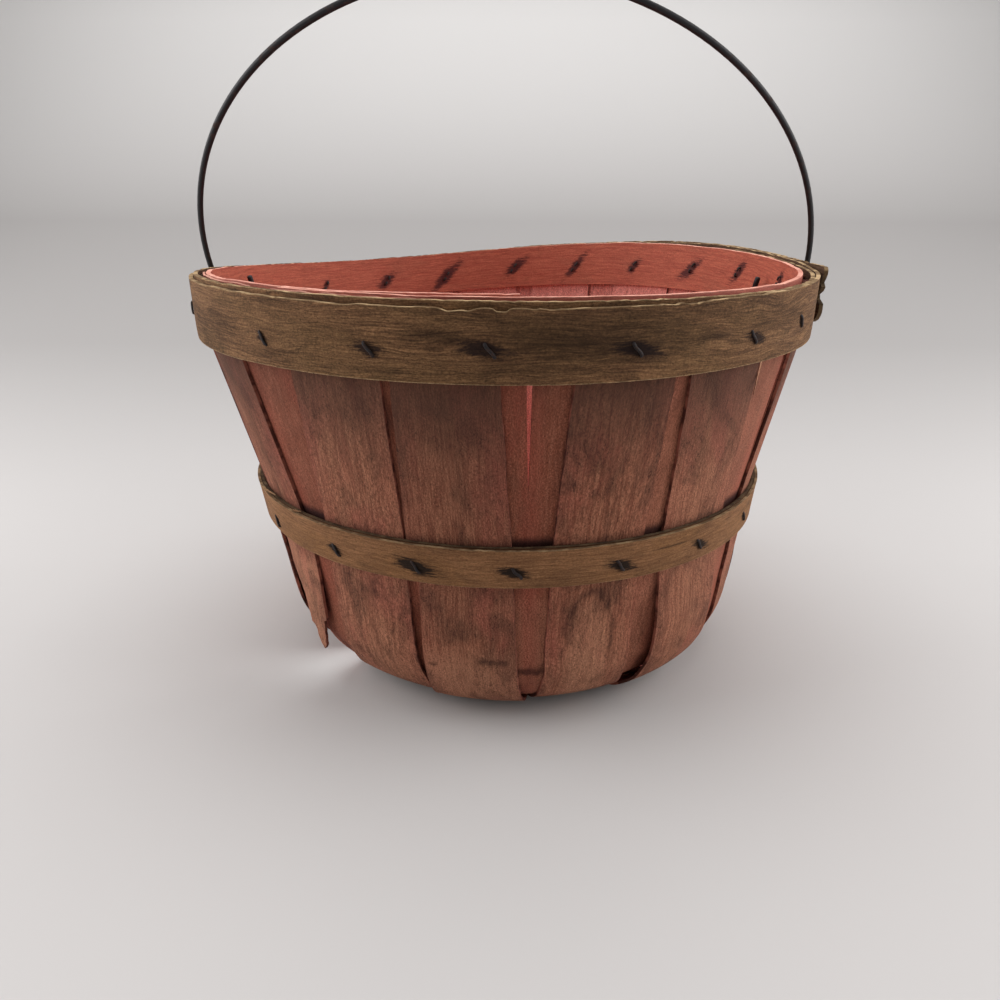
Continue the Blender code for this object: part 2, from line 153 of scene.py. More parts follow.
def bandMesh(name, outer, inner, marks, material, body, node, slotName, roughEdge=0.0, seed=0):
    # A closed strip of veneer: two faces, two long edges with a broken middle line, two ends
    n, m = outer.shape[:2]
    rng = np.random.default_rng(seed)
    middle = []
    for side, step in ((0, 1), (m - 1, m - 2)):
        away = outer[:, side] - outer[:, step]
        away /= np.linalg.norm(away, axis=1)[:, None] + 1e-12
        push = roughEdge * rng.uniform(0.1, 1.0, n)[:, None]
        middle.append((outer[:, side] + inner[:, side]) / 2 + away * push)
    verts = np.concatenate([outer.reshape(-1, 3), inner.reshape(-1, 3), middle[0], middle[1]])
    at = np.arange(n * m).reshape(n, m)
    inn = at + n * m
    midA = 2 * n * m + np.arange(n)
    midB = midA + n

    def quads(a, b, c, d):
        return np.stack([a.ravel(), b.ravel(), c.ravel(), d.ravel()], axis=1)

    faces = [
        quads(at[:-1, :-1], at[1:, :-1], at[1:, 1:], at[:-1, 1:]),
        quads(inn[:-1, :-1], inn[:-1, 1:], inn[1:, 1:], inn[1:, :-1]),
        quads(at[:-1, 0], midA[:-1], midA[1:], at[1:, 0]),
        quads(midA[:-1], inn[:-1, 0], inn[1:, 0], midA[1:]),
        quads(at[:-1, -1], at[1:, -1], midB[1:], midB[:-1]),
        quads(midB[:-1], midB[1:], inn[1:, -1], inn[:-1, -1]),
        quads(at[0, :-1], at[0, 1:], inn[0, 1:], inn[0, :-1]),
        quads(at[-1, :-1], inn[-1, :-1], inn[-1, 1:], at[-1, 1:]),
    ]
    broad = len(faces[0])
    strips = np.concatenate(faces)
    corners = [(at[0, 0], inn[0, 0], midA[0]), (at[-1, 0], midA[-1], inn[-1, 0]),
               (at[0, -1], midB[0], inn[0, -1]), (at[-1, -1], inn[-1, -1], midB[-1])]
    edges = len(strips) - 2 * broad + len(corners)
    mesh = bpy.data.meshes.new(name)
    mesh.from_pydata(verts.tolist(), [], strips.tolist() + [[int(v) for v in c] for c in corners])
    for key, grid in marks.items():
        flat = grid.reshape((n * m,) + grid.shape[2:])
        values = np.concatenate([flat, flat, grid[:, 0], grid[:, -1]])
        kind, field = ("FLOAT_VECTOR", "vector") if values.ndim == 2 else ("FLOAT", "value")
        mesh.attributes.new(key, kind, "POINT").data.foreach_set(field, values.ravel())
    cut = np.r_[np.zeros(2 * broad), np.ones(edges)]
    inside = np.r_[np.zeros(broad), np.ones(broad), np.zeros(edges)]
    mesh.attributes.new("cut", "FLOAT", "FACE").data.foreach_set("value", cut)
    mesh.attributes.new("inside", "FLOAT", "FACE").data.foreach_set("value", inside)
    mesh.update()
    mesh.shade_smooth()
    mesh.set_sharp_from_angle(angle=math.radians(40))
    return place(name, mesh, material, body, node, slotName)


def addObject(name, data):
    made = bpy.data.objects.new(name, data)
    bpy.context.scene.collection.objects.link(made)
    return made


def place(name, data, material, body, node, slotName):
    data.materials.append(material)
    made = addObject(name, data)
    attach(made, body)
    if node:
        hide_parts(node)
    return made


def linear(hexColor):
    parts = [int(hexColor[i:i + 2], 16) / 255 for i in (1, 3, 5)]
    return tuple(p / 12.92 if p <= 0.04045 else ((p + 0.055) / 1.055) ** 2.4 for p in parts) + (1.0,)


def addNode(tree, kind, *inputs):
    # A kind may end in its mode, as in Math.ADD. Inputs come in order, or by name in a dictionary:
    # values, or the sockets that they are linked from
    kind, _, mode = kind.partition(".")
    made = tree.nodes.new("ShaderNode" + kind)
    for key in ("operation", "blend_type", "interpolation_type", "attribute_name"):
        if mode and hasattr(made, key):
            setattr(made, key, mode)
    byName = len(inputs) == 1 and isinstance(inputs[0], dict)
    for key, value in inputs[0].items() if byName else enumerate(inputs):
        if isinstance(value, bpy.types.NodeSocket):
            tree.links.new(value, made.inputs[key])
        else:
            made.inputs[key].default_value = value
    return made.outputs[0] if made.outputs else made


def newMaterial(name):
    material = bpy.data.materials.new(name)
    material.use_nodes = True
    material.node_tree.nodes.clear()
    return material, partial(addNode, material.node_tree)


def veneerMaterial(name, look):
    # Rotary-cut poplar: short fine fibres, pores and a cloudy figure, dull where weathered.
    # Patterns follow the piece's own grain: X along it, Y across it, in metres.
    material, add = newMaterial(name)
    tint = {key: linear(value) for key, value in look.items() if isinstance(value, str)}
    grain, spot = (add("Attribute." + key).node.outputs["Vector"] for key in ("grain", "place"))
    stain, grime, cut, inside = (add("Attribute." + key).node.outputs["Fac"]
                                 for key in ("stain", "grime", "cut", "inside"))
    across, height, tone = add("SeparateXYZ", spot).node.outputs

    # Stretch along the grain, width of the bumps in metres, detail, roughness, distortion
    patterns = {
        "drift": (4.0, 0.010, 2.0, 0.6, 0.0),
        # Fibres are about 0.1 mm: drawn coarser, to show
        "fibre": (look["fibreStretch"], 0.00036, 4.0, 0.75, 0.0),
        # Early and late wood
        "streak": (look["streakStretch"], look["streakWidth"], 4.0, 0.6, 0.0),
        # Weather and dirt, 10 to 20 mm
        "cloud": (look["cloudStretch"], 0.013, 6.0, 0.62, 0.6),
        # The rough tooth of weathered wood
        "sand": (1.5, 0.00060, 3.0, 0.7, 0.0),
        # Where the dye has lasted
        "patch": (2.4, 0.024, 4.0, 0.55, 0.4),
        # Pores, drawn at half a millimetre
        "speck": (1.8, 0.00050, 2.0, 0.6, 0.0),
        # Dark mould lines that wander
        "vein": (3.0, 0.0050, 3.0, 0.6, 1.2),
        "sawn": (2.0, 0.0045, 3.0, 0.6, 0.0),
        "ragged": (3.0, 0.0014, 5.0, 0.7, 0.0),
        "creep": (6.0, 0.0010, 4.0, 0.7, 0.0),
    }
    noise = {}
    wander = grain
    for key, (stretch, width, detail, rough, warp) in patterns.items():
        spread = add("VectorMath.MULTIPLY", wander, (1 / width / stretch, 1 / width, 1.0))
        noise[key] = add("TexNoise", {"Vector": spread, "Scale": 1.0, "Detail": detail,
                                      "Roughness": rough, "Distortion": warp})
        if key == "drift":
            # The grain drifts sideways by a few millimetres over its length
            sideways = add("Math.MULTIPLY", add("Math.SUBTRACT", noise[key], 0.5), look["drift"])
            wander = add("VectorMath.ADD", grain, add("CombineXYZ", 0.0, sideways))

    def share(*factors):
        # The product of numbers, sockets and smooth steps: a source, where it starts, where it ends
        total = None
        for factor in factors:
            if isinstance(factor, tuple):
                factor = add("MapRange.SMOOTHSTEP", *factor)
            total = factor if total is None else add("Math.MULTIPLY", total, factor)
        return total

    fromMiddle = add("Math.ABSOLUTE", across)
    body = add("MixRGB", share((noise["streak"], 0.32, 0.68)), tint["light"], tint["dark"])
    overBody = (
        ("dye", (noise["patch"], 0.48, 0.66), look["dyeShare"]),
        # Pieces differ: above 0 is paler and browner, below 0 darker
        ("pale", add("Math.MAXIMUM", tone, 0.0)),
        ("dirt", add("Math.MINIMUM", tone, 0.0), -1.0),
        # Paler edges: worn wood, and on the hoops also a painted highlight
        ("edgeLight", (fromMiddle, look["paleEdgeFrom"], 1.0), look["paleEdgeShare"]),
        ("dye", (fromMiddle, 0.30, 0.95), look["dyedEdges"]),
        ("dirt", (noise["cloud"], 0.43, 0.70), look["dirtShare"]),
    )
    for key, *factors in overBody:
        body = add("MixRGB", share(*factors), body, tint[key])
    lining = add("MixRGB", share((noise["streak"], 0.3, 0.7)), tint["insideLight"], tint["insideDark"])
    dirty = share((noise["cloud"], 0.50, 0.75), 0.35)
    lining = add("MixRGB", dirty, lining, tint["insideDirt"])
    face = add("MixRGB", inside, body, lining)
    # How much the fibres and the tooth darken and brighten
    contrasts = (
        ("fibre", 0.30, 0.70, (0.55, 0.55, 0.55, 1.0), (1.38, 1.36, 1.34, 1.0)),
        ("sand", 0.28, 0.72, (0.62, 0.60, 0.60, 1.0), (1.34, 1.33, 1.32, 1.0)),
    )
    for key, low, high, dark, bright in contrasts:
        shade = add("MixRGB", share((noise[key], low, high)), dark, bright)
        face = add("MixRGB.MULTIPLY", look[key + "Share"], face, shade)
    outside = add("Math.SUBTRACT", 1.0, inside)
    fromVein = add("Math.ABSOLUTE", add("Math.SUBTRACT", noise["vein"], 0.5))
    mouldy = share((noise["cloud"], 0.46, 0.60), look["veinShare"])
    overFace = (
        ("pore", (noise["speck"], 0.57, 0.70), look["speckShare"]),
        ("pore", (fromVein, 0.014, 0.0), mouldy),
        # Painted shade: the wood is darkened just under the rim hoops, where their overhang keeps the
        # light off
        ("dirt", (height, look["shadeFrom"], 0.164), look["paintedShadeUnderRim"], outside),
        # Painted contact shadow, with soil from standing on the ground, at the very foot
        ("grimeColor", (height, 0.0060, 0.0005), outside, 0.60),
        # Painted shade and dirt: a dark band just above the waist hoop, where it meets the staves
        ("iron", (height, 0.0995, 0.0950), (height, 0.088, 0.094), outside, look["waistShadeAndDirt"]),
    )
    for key, *factors in overFace:
        face = add("MixRGB", share(*factors), face, tint[key])
    sawn = add("MixRGB", share((noise["sawn"], 0.40, 0.62)), tint["edgeDark"], tint["edgeLight"])
    face = add("MixRGB", cut, face, sawn)
    # Grime and painted shade with a ragged outline darken the wood, and its grain still shows through
    ragged = share(add("Math.SUBTRACT", noise["ragged"], 0.5), 0.9, 0.7)
    soaked = share((add("Math.ADD", grime, ragged), 0.15, 0.85), 0.9, (grime, 0.02, 0.2),
                   add("Math.SUBTRACT", 1.0, share(inside, 0.8)))
    sunk = add("MixRGB.MULTIPLY", 1.0, face, (0.40, 0.39, 0.40, 1.0))
    face = add("MixRGB", soaked, face, add("MixRGB", 0.45, sunk, tint["grimeColor"]))
    # Iron has crept out of the staples along the fibres
    creep = add("Math.ADD", stain, share(add("Math.SUBTRACT", noise["creep"], 0.5), 1.5))
    rusty = share((creep, 0.16, 0.62), (stain, 0.04, 0.30), look["ironShare"])
    face = add("MixRGB", rusty, face, tint["iron"])

    ridges = add("Math.ADD", share(noise["fibre"], 0.8), share(noise["streak"], 0.6))
    pitted = add("Math.SUBTRACT", ridges, share((noise["speck"], 0.57, 0.70), 0.5))
    # Open weathered fibres swallow most of the gloss, so the sides show no white sheen
    low, high = look["roughness"] - 0.10, look["roughness"] + 0.10
    add("OutputMaterial", add("BsdfPrincipled", {
        "Base Color": face,
        "Normal": add("Bump", {"Strength": look["relief"], "Distance": 0.00035, "Height": pitted}),
        "Roughness": add("MapRange", noise["cloud"], 0.0, 1.0, low, high),
        "IOR": 1.47, "Specular IOR Level": look["specular"],
    }))
    return material


# Poplar veneer dyed red before bending, then weathered outdoors: a dull brown bloom over
# the red, greyer blotches, and pinker wood where it was cut
outerVeneer = {
    "light": "#a36e56", "dark": "#7d4d3c", "dirt": "#4b352c", "dye": "#995448", "pale": "#c18f72",
    "pore": "#3d2720", "insideLight": "#d98f84", "insideDark": "#c3786e", "insideDirt": "#9c5f55",
    "edgeLight": "#8e5546", "edgeDark": "#4c2a23", "iron": "#1d1518", "grimeColor": "#352622",
    "dirtShare": 0.52, "dyeShare": 0.52, "dyedEdges": 0.15, "fibreShare": 0.82, "speckShare": 0.60,
    "sandShare": 0.88, "veinShare": 0.80, "paleEdgeShare": 0.25, "paleEdgeFrom": 0.90, "paintedShadeUnderRim": 0.72,
    "shadeFrom": 0.112, "waistShadeAndDirt": 0.30, "ironShare": 0.92, "cloudStretch": 1.7,
    "fibreStretch": 6.0, "streakStretch": 16.0, "streakWidth": 0.0011,
    "drift": 0.004, "relief": 0.55, "roughness": 0.78, "specular": 0.10,
}
# The same veneer behind the others: sheltered, so the red dye is stronger and more even
innerVeneer = outerVeneer | {
    "light": "#985f4b", "dark": "#834c3a", "dirt": "#5f3c30", "dye": "#974a3d", "pale": "#b38067",
    "pore": "#46271f", "insideLight": "#da9186", "insideDark": "#c67c71", "insideDirt": "#a5675b",
    "edgeLight": "#84493c", "edgeDark": "#4a261f", "iron": "#241619", "grimeColor": "#30191a",
    "dirtShare": 0.35, "dyeShare": 0.35, "dyedEdges": 0.40, "fibreShare": 0.68, "speckShare": 0.50,
    "veinShare": 0.25, "paleEdgeShare": 0.0, "paintedShadeUnderRim": 0.25, "shadeFrom": 0.130, "waistShadeAndDirt": 0.85,
    "fibreStretch": 3.0, "streakStretch": 8.0, "streakWidth": 0.0013,
    "drift": 0.003, "relief": 0.45, "roughness": 0.76,
}
# Undyed veneer hoop, weathered grey-brown with raised grain, and a pale cream edge: raw wood, with a
# painted highlight along it
hoopVeneer = {
    "light": "#8a6748", "dark": "#674a34", "dirt": "#36261c", "dye": "#715739", "pale": "#a58763",
    "pore": "#261b14", "insideLight": "#6e5442", "insideDark": "#4a372b", "insideDirt": "#3a2b22",
    "edgeLight": "#b79a74", "edgeDark": "#6d553b", "iron": "#1b1113", "grimeColor": "#21170f",
    "dirtShare": 0.50, "dyeShare": 0.40, "dyedEdges": 0.0, "fibreShare": 0.90, "speckShare": 0.35,
    "sandShare": 0.85, "veinShare": 0.35, "paleEdgeShare": 0.80, "paleEdgeFrom": 0.968, "paintedShadeUnderRim": 0.0,
    "shadeFrom": 0.10, "waistShadeAndDirt": 0.0, "ironShare": 0.88, "cloudStretch": 3.6,
    "fibreStretch": 22.0, "streakStretch": 26.0, "streakWidth": 0.0007,
    "drift": 0.006, "relief": 0.9, "roughness": 0.80, "specular": 0.12,
}
# The thinner hoop round the waist: the same wood, cleaner and more yellow
waistVeneer = hoopVeneer | {
    "light": "#946b4a", "dark": "#7a5539", "dirt": "#503828", "dye": "#87603c", "pale": "#b08a66",
    "pore": "#38281e", "edgeLight": "#a58a68", "edgeDark": "#6d5640", "iron": "#14100f",
    "grimeColor": "#201612", "dirtShare": 0.45, "dyeShare": 0.45, "fibreShare": 0.65,
    "sandShare": 0.60, "paleEdgeShare": 0.55, "paleEdgeFrom": 0.965, "ironShare": 0.93, "cloudStretch": 2.6,
    "fibreStretch": 14.0, "streakStretch": 20.0, "streakWidth": 0.0009,
    "drift": 0.004, "relief": 0.6, "roughness": 0.78, "specular": 0.14,
}
# The hoop inside the rim: dyed coral red right through its faces, pale pink where it was cut
coralVeneer = waistVeneer | {
    "light": "#b86857", "dark": "#a35548", "dirt": "#8d5444", "dye": "#b96251", "pale": "#d19a86",
    "pore": "#6b2d28", "insideLight": "#b5654f", "insideDark": "#9d5040", "insideDirt": "#93604c",
    "edgeLight": "#e3a592", "edgeDark": "#c98573", "iron": "#34161c", "grimeColor": "#6b3d3a",
    "dirtShare": 0.35, "dyeShare": 0.40, "fibreShare": 0.55, "sandShare": 0.50, "veinShare": 0.30,
    "paleEdgeShare": 0.30, "paleEdgeFrom": 0.95, "ironShare": 0.85, "cloudStretch": 3.0,
    "streakWidth": 0.0010, "relief": 0.4, "roughness": 0.70, "specular": 0.22,
}


def wireMaterial(name, look):
    # Drawn low-carbon steel wire, its scale gone near black, with freckles of rust
    material, add = newMaterial(name)
    freckles = add("TexNoise", {"Vector": add("TexCoord").node.outputs["Object"],
                                "Scale": 1 / look["rustSize"], "Detail": 5.0, "Roughness": 0.65})
    rust = add("MapRange", freckles, look["rustFrom"], look["rustFrom"] + 0.14)
    add("OutputMaterial", add("BsdfPrincipled", {
        "Base Color": add("MixRGB", rust, linear(look["steel"]), linear(look["rust"])),
        "Metallic": add("MapRange", rust, 0.0, 1.0, look["metallic"], 0.1),
        "Roughness": add("MapRange", rust, 0.0, 1.0, look["roughness"], 0.9),
        "Normal": add("Bump", {"Strength": 0.3, "Distance": 0.0002, "Height": freckles}),
    }))
    return material


bailSteel = {"steel": "#2b2a2c", "rust": "#3a2620", "rustSize": 0.004, "rustFrom": 0.56,
             "metallic": 0.75, "roughness": 0.50}
stapleSteel = {"steel": "#1f1a1c", "rust": "#35231d", "rustSize": 0.0012, "rustFrom": 0.46,
               "metallic": 0.35, "roughness": 0.68}

# Hoops, wound from their start with turn +1 or -1 for their whole sweep in degrees
hoops = {
    "top": {"start": 118.0, "turn": -1, "sweep": 759.5, "width": 0.0257, "thickness": 0.00175,
            "plyStep": 0.0020, "ramp": 24.0, "sprungSweep": 32.0, "sprungLift": 0.0038,
            "sprungRise": 0.0012, "sideRise": 0.0018, "riseFrom": 10.0, "riseUntil": 120.0,
            "riseRamp": 38.0},
    "inner": {"start": -36.0, "turn": 1, "sweep": 398.0, "width": 0.0240, "thickness": 0.0020,
              "stand": 0.0013, "tilt": 0.0014, "highAzimuth": 15.0, "ramp": 24.0, "creep": 0.0007,
              "creepSweep": 34.0, "creepRamp": 30.0},
    "mid": {"start": 171.0, "turn": -1, "sweep": 747.0, "width": 0.0172, "bottom": 0.0770,
            "thickness": 0.0013, "ramp": 24.0, "plyStep": 0.0007},
}
mould = makeMould()


def hoopLayer(hoop, travel):
    layer = np.zeros_like(travel)
    for fullTurn in (360.0, 720.0):
        if fullTurn <= hoop["sweep"]:
            layer = layer + smoothStep((travel - fullTurn + hoop["ramp"]) / hoop["ramp"])
    return layer


def sprungShare(travel):
    # How far the outer end of the rim hoop has sprung off
    hoop = hoops["top"]
    return np.clip((travel - hoop["sweep"] + hoop["sprungSweep"]) / hoop["sprungSweep"], 0, None) ** 3


def hoopOffset(key, travel):
    # From the outside of the wall to a hoop's near face: each turn lies over the last
    hoop = hoops[key]
    wound = hoopLayer(hoop, travel) * (hoop["thickness"] + basket["gap"])
    if key == "inner":
        return -(2 * layerPitch + wound)
    return basket["gap"] + wound + hoop.get("sprungLift", 0.0) * sprungShare(travel)


def hoopTop(key, azimuth, travel):
    hoop = hoops[key]
    firstTurn = 1 - np.minimum(hoopLayer(hoop, travel), 1.0)
    if key == "mid":
        return hoop["bottom"] + hoop["width"] + hoop["plyStep"] * firstTurn + 0 * azimuth
    if key == "inner":
        # The lap's end has crept up a little past the turn behind it
        lap = travel - hoop["sweep"] + hoop["creepSweep"]
        crept = hoop["creep"] * smoothStep(lap / hoop["creepRamp"])
        tilt = hoop["tilt"] * np.cos(np.radians(azimuth - hoop["highAzimuth"]))
        return basket["height"] + hoop["stand"] + tilt + crept
    front = (1 + np.cos(np.radians(azimuth))) / 2
    away = shortWay(azimuth, 0.0)
    climb = smoothStep((away - hoop["riseFrom"]) / hoop["riseRamp"])
    fall = smoothStep((away - hoop["riseUntil"]) / hoop["riseRamp"])
    rise = hoop["sideRise"] * (climb - fall) * (1 - firstTurn) + hoop["sprungRise"] * sprungShare(travel)
    return basket["height"] + hoop["plyStep"] * front * firstTurn + rise


# Staples: azimuth and height of each crown's middle
staples = {"wire": 0.0012, "reach": 0.0034, "slant": 0.0048, "clinch": 0.0020, "clearance": 0.0006,
           "corner": 0.0009, "seat": 0.55, "crownLift": 0.0003, "buckle": (0.0002, 0.0005)}
rimStaples = (
    (-68.0, 0.1760), (-36.7, 0.1735), (-18.3, 0.1740), (-2.0, 0.1750), (17.6, 0.1745),
    (38.3, 0.1750), (53.6, 0.1768), (74.0, 0.1790), (89.5, 0.1815), (108.8, 0.1800),
    (124.9, 0.1780), (143.0, 0.1763), (160.0, 0.1755), (177.1, 0.1765), (196.0, 0.1745),
    (213.1, 0.1750), (232.0, 0.1750), (251.0, 0.1750), (273.0, 0.1755),
)
midStaples = (
    (-56.0, 0.0825), (-34.4, 0.0835), (-17.0, 0.0840), (1.2, 0.0840), (20.1, 0.0840),
    (38.8, 0.0845), (57.7, 0.0845), *((round(78.2 + 20.5 * k, 1), 0.0845) for k in range(11)),
)


def stainAt(azimuth, height, places, look):
    # Iron from the wire has blackened the wood round it, mostly along the grain
    total = np.zeros(np.broadcast(azimuth, height).shape)
    for k, (at, high) in enumerate(places):
        rng = np.random.default_rng(900 + k)
        size = look["stainSizes"].get(at, 0.8)
        x = np.radians(shortWay(azimuth, at)) * wallRadius(high)
        y = height - high + look["slant"] * rng.uniform(0.6, 1.3) * x
        a = look["stainLong"] * size * rng.uniform(0.85, 1.15)
        b = look["stainWide"] * math.sqrt(size) * rng.uniform(0.85, 1.15)
        x = x + rng.uniform(-0.25, 0.25) * a
        total = np.maximum(total, np.exp(-np.abs(x / a) ** 1.3 - (y / b) ** 2))
    return total


def grimeAndShadeAt(azimuth, height, places):
    # Dark bands of dirt and painted shade on a hoop: azimuth, height, half length and half width in
    # metres, strength
    total = np.zeros(np.broadcast(azimuth, height).shape)
    for at, high, long, wide, strength in places:
        x = np.radians(shortWay(azimuth, at)) * basket["rimWallRadius"]
        far = (x / long) ** 2 + ((height - high) / wide) ** 2
        total = np.maximum(total, strength * np.exp(-far))
    return total


# Degrees between a hoop's columns of points, how far up its width each row lies, and the degrees
# over which a ragged end is uneven
hoopStep = 0.42
hoopRows = np.r_[0.0, 0.02, 0.06, np.linspace(0.13, 0.87, 11), 0.94, 0.975, 1.0][None, :]
raggedSweep = 14.0
# Metres from bump to bump along an edge, the depth of the band's own wave, and a knot's size
hoopSizes = {"chip": 0.0030, "finerChip": 0.0009, "sway": 0.05, "lowerSway": 0.06, "lowerChip": 0.004,
             "wave": 0.03, "waveDepth": 0.00008, "knotLong": 0.011, "knotWide": 0.004}


def windHoop(key, material, slotName, look):
    hoop = hoops[key]
    outward = -1 if key == "inner" else 1
    travel = np.linspace(0, hoop["sweep"], int(hoop["sweep"] / hoopStep))[:, None]
    share = hoopRows
    if "ragged" in look:
        # The outer end has split off unevenly: how much of the lap is missing at each height
        lost = np.interp(share, *look["ragged"])
        travel = travel - np.clip((travel - hoop["sweep"] + raggedSweep) / raggedSweep, 0, 1) * lost
    azimuth = hoop["start"] + hoop["turn"] * travel
    radius = basket["midHoopWallRadius" if key == "mid" else "rimWallRadius"]
    length = np.radians(travel) * radius
    seed = look["seed"]
    chips = flakes(seed, length, hoopSizes["chip"])
    chips = chips + 0.35 * flakes(seed + 1, length, hoopSizes["finerChip"], 2.0)
    chips = look["sway"] * waves(seed + 2, length, hoopSizes["sway"]) - look["chip"] * chips
    for at, deep, wide in look.get("notches", ()):
        chips = chips - deep * np.exp(-((travel - at) / wide) ** 6)
    lower = look["sway"] * waves(seed + 3, length, hoopSizes["lowerSway"])
    lower = lower + 0.3 * look["chip"] * flakes(seed + 4, length, hoopSizes["lowerChip"])
    top = hoopTop(key, azimuth, travel) + chips
    bottom = hoopTop(key, azimuth, travel) - hoop["width"] + lower
    height = bottom + (top - bottom) * share
    wave = np.clip(hoopSizes["waveDepth"] * waves(seed + 5, length, hoopSizes["wave"]), 0, None)
    near = wallRadius(height) + hoopOffset(key, travel) + wave * outward
    far = near + outward * hoop["thickness"]
    inner, outer = (settle(polar(azimuth, face, height)) for face in (near, far)[::outward])
    # The grain bows round a knot
    bowed = height
    for at, high, deep in look.get("knots", ()):
        x = np.radians(shortWay(azimuth, at)) * radius
        reach = np.exp(-(x / hoopSizes["knotLong"]) ** 2)
        bowed = bowed + deep * reach * np.tanh((height - high) / hoopSizes["knotWide"])
    # Rot and painted shade darken the sprung end, less near its top, and dirt the seam between two turns
    rotAndShade = look.get("endRotAndShade", 0.0) * sprungShare(travel) ** 0.25
    rotAndShade = rotAndShade * (1 - 0.6 * smoothStep((share - 0.80) / 0.1))
    seam = look.get("seamDirt", 0.0) * smoothStep((share - 0.93) / 0.04)
    seam = seam * (travel < hoop["sweep"] - 360.0)
    dirt = grimeAndShadeAt(azimuth, height, look.get("bands", ()))
    marks = makeMarks(height.shape, (length, bowed, seed * 3.7), (share * 2 - 1, height, 0.0),
                      stainAt(azimuth, height, look["staples"], look),
                      np.maximum(np.maximum(dirt, rotAndShade), seam))
    return bandMesh(key + "HoopBand", outer, inner, marks, material, "basket", key + "_hoop", slotName,
                    look["rough"], seed)


looks = {
    "outer": veneerMaterial("redDyedWeatheredVeneer", outerVeneer),
    "inner": veneerMaterial("redDyedShelteredVeneer", innerVeneer),
    "hoop": veneerMaterial("rawWeatheredHoopVeneer", hoopVeneer),
    "waist": veneerMaterial("rawWaistHoopVeneer", waistVeneer),
    "coral": veneerMaterial("coralDyedHoopVeneer", coralVeneer),
    "bail": wireMaterial("darkDrawnSteelWire", bailSteel),
    "staple": wireMaterial("rustedStapleWire", stapleSteel),
}
print("stage: materials made")

windHoop("top", looks["hoop"], "hoop_veneer", {
    "seed": 11, "chip": 0.00055, "sway": 0.00015, "rough": 0.00010,
    "staples": rimStaples, "stainLong": 0.0070, "stainWide": 0.0026, "slant": 0.20,
    "stainSizes": {-68.0: 0.4, -36.7: 0.45, -18.3: 0.75, -2.0: 1.25, 17.6: 1.2, 38.3: 0.8, 53.6: 0.35},
    # Azimuth, height and depth of the bow
    "knots": ((44.0, 0.1800, 0.0022), (36.0, 0.1700, 0.0014), (150.0, 0.1780, 0.0020),
              (-96.0, 0.1720, 0.0020)),
    # Degrees along the hoop, depth in metres and half width in degrees
    "notches": ((484.0, 0.0008, 2.2), (478.5, 0.0011, 1.0), (501.0, 0.0004, 3.0), (452.0, 0.0005, 1.5)),
    "bands": ((-9.0, 0.1795, 0.016, 0.0040, 0.75), (-14.0, 0.1670, 0.045, 0.0020, 0.55),
              # The broad band at 10 degrees is painted shade over the front middle of the hoop, where
              # less light falls
              (10.0, 0.1780, 0.052, 0.0100, 0.76), (30.0, 0.1775, 0.014, 0.0018, 0.75),
              (-2.0, 0.1850, 0.024, 0.0026, 0.50), (24.0, 0.1830, 0.020, 0.0020, 0.50),
              (6.0, 0.1680, 0.040, 0.0022, 0.55), (-24.0, 0.1785, 0.012, 0.0012, 0.45),
              (14.0, 0.1735, 0.020, 0.0012, 0.60), (46.0, 0.1745, 0.014, 0.0014, 0.55),
              (120.0, 0.1720, 0.030, 0.0030, 0.40), (200.0, 0.1830, 0.030, 0.0030, 0.45),
              (250.0, 0.1700, 0.025, 0.0025, 0.40)),
    "ragged": ((0.0, 0.08, 0.22, 0.36, 0.42, 0.49, 0.56, 0.66, 0.74, 0.79, 0.86, 0.96, 1.0),
               (2.6, 0.7, 0.0, 0.2, 2.2, 2.8, 1.1, 0.4, 1.7, 0.8, 0.3, 0.3, 0.9)),
    "endRotAndShade": 0.95,
})
windHoop("inner", looks["coral"], "inner_hoop_veneer", {
    "seed": 23, "chip": 0.00025, "sway": 0.00012, "rough": 0.00008,
    "staples": rimStaples, "stainLong": 0.0095, "stainWide": 0.0042, "slant": 0.75,
    "stainSizes": {89.5: 0.5, 108.8: 0.75, 124.9: 0.85, 143.0: 0.55, 160.0: 0.85, 177.1: 0.95,
                   196.0: 1.2, 213.1: 0.8, 232.0: 0.3, 251.0: 0.3},
})
windHoop("mid", looks["waist"], "hoop_veneer", {
    "seed": 37, "chip": 0.00025, "sway": 0.00012, "rough": 0.00008,
    "staples": midStaples, "stainLong": 0.0060, "stainWide": 0.0028, "slant": 0.25, "seamDirt": 0.80,
    "stainSizes": {-56.0: 0.35, -34.4: 0.6, -17.0: 1.35, 1.2: 0.9, 20.1: 1.0, 38.8: 0.8, 57.7: 0.4},
    "bands": ((31.0, 0.0880, 0.016, 0.0006, 0.80), (48.0, 0.0905, 0.006, 0.0010, 0.60),
              (-28.0, 0.0800, 0.008, 0.0014, 0.55), (150.0, 0.0870, 0.018, 0.0010, 0.60)),
})
print("stage: hoops wound")

# Staves, lowest first where they cross: direction, azimuth of the front end at the rim, and width
# at the base's corner. At the rim all are one width
staveWidthRim = 0.0385
staveShapes = {
    "outer": ((-9.8, -8.5, 0.0440), (41.0, 36.0, 0.0400), (86.6, 86.6, 0.0400),
              (-54.4, -54.5, 0.0400), (-30.3, -25.7, 0.0408), (16.0, 17.5, 0.0385),
              (67.0, 65.5, 0.0400), (106.0, 106.0, 0.0400)),
    "inner": ((-36.0, -37.9, 0.0400), (4.3, 4.3, 0.0400), (45.8, 46.5, 0.0400),
              (86.0, 86.0, 0.0400), (-16.0, -17.0, 0.0400), (26.0, 27.5, 0.0400),
              (66.0, 66.0, 0.0400), (106.0, 106.0, 0.0400)),
}
staves = {f"{kind}_stave_{k + 1}": shape
          for kind, shapes in staveShapes.items() for k, shape in enumerate(shapes)}


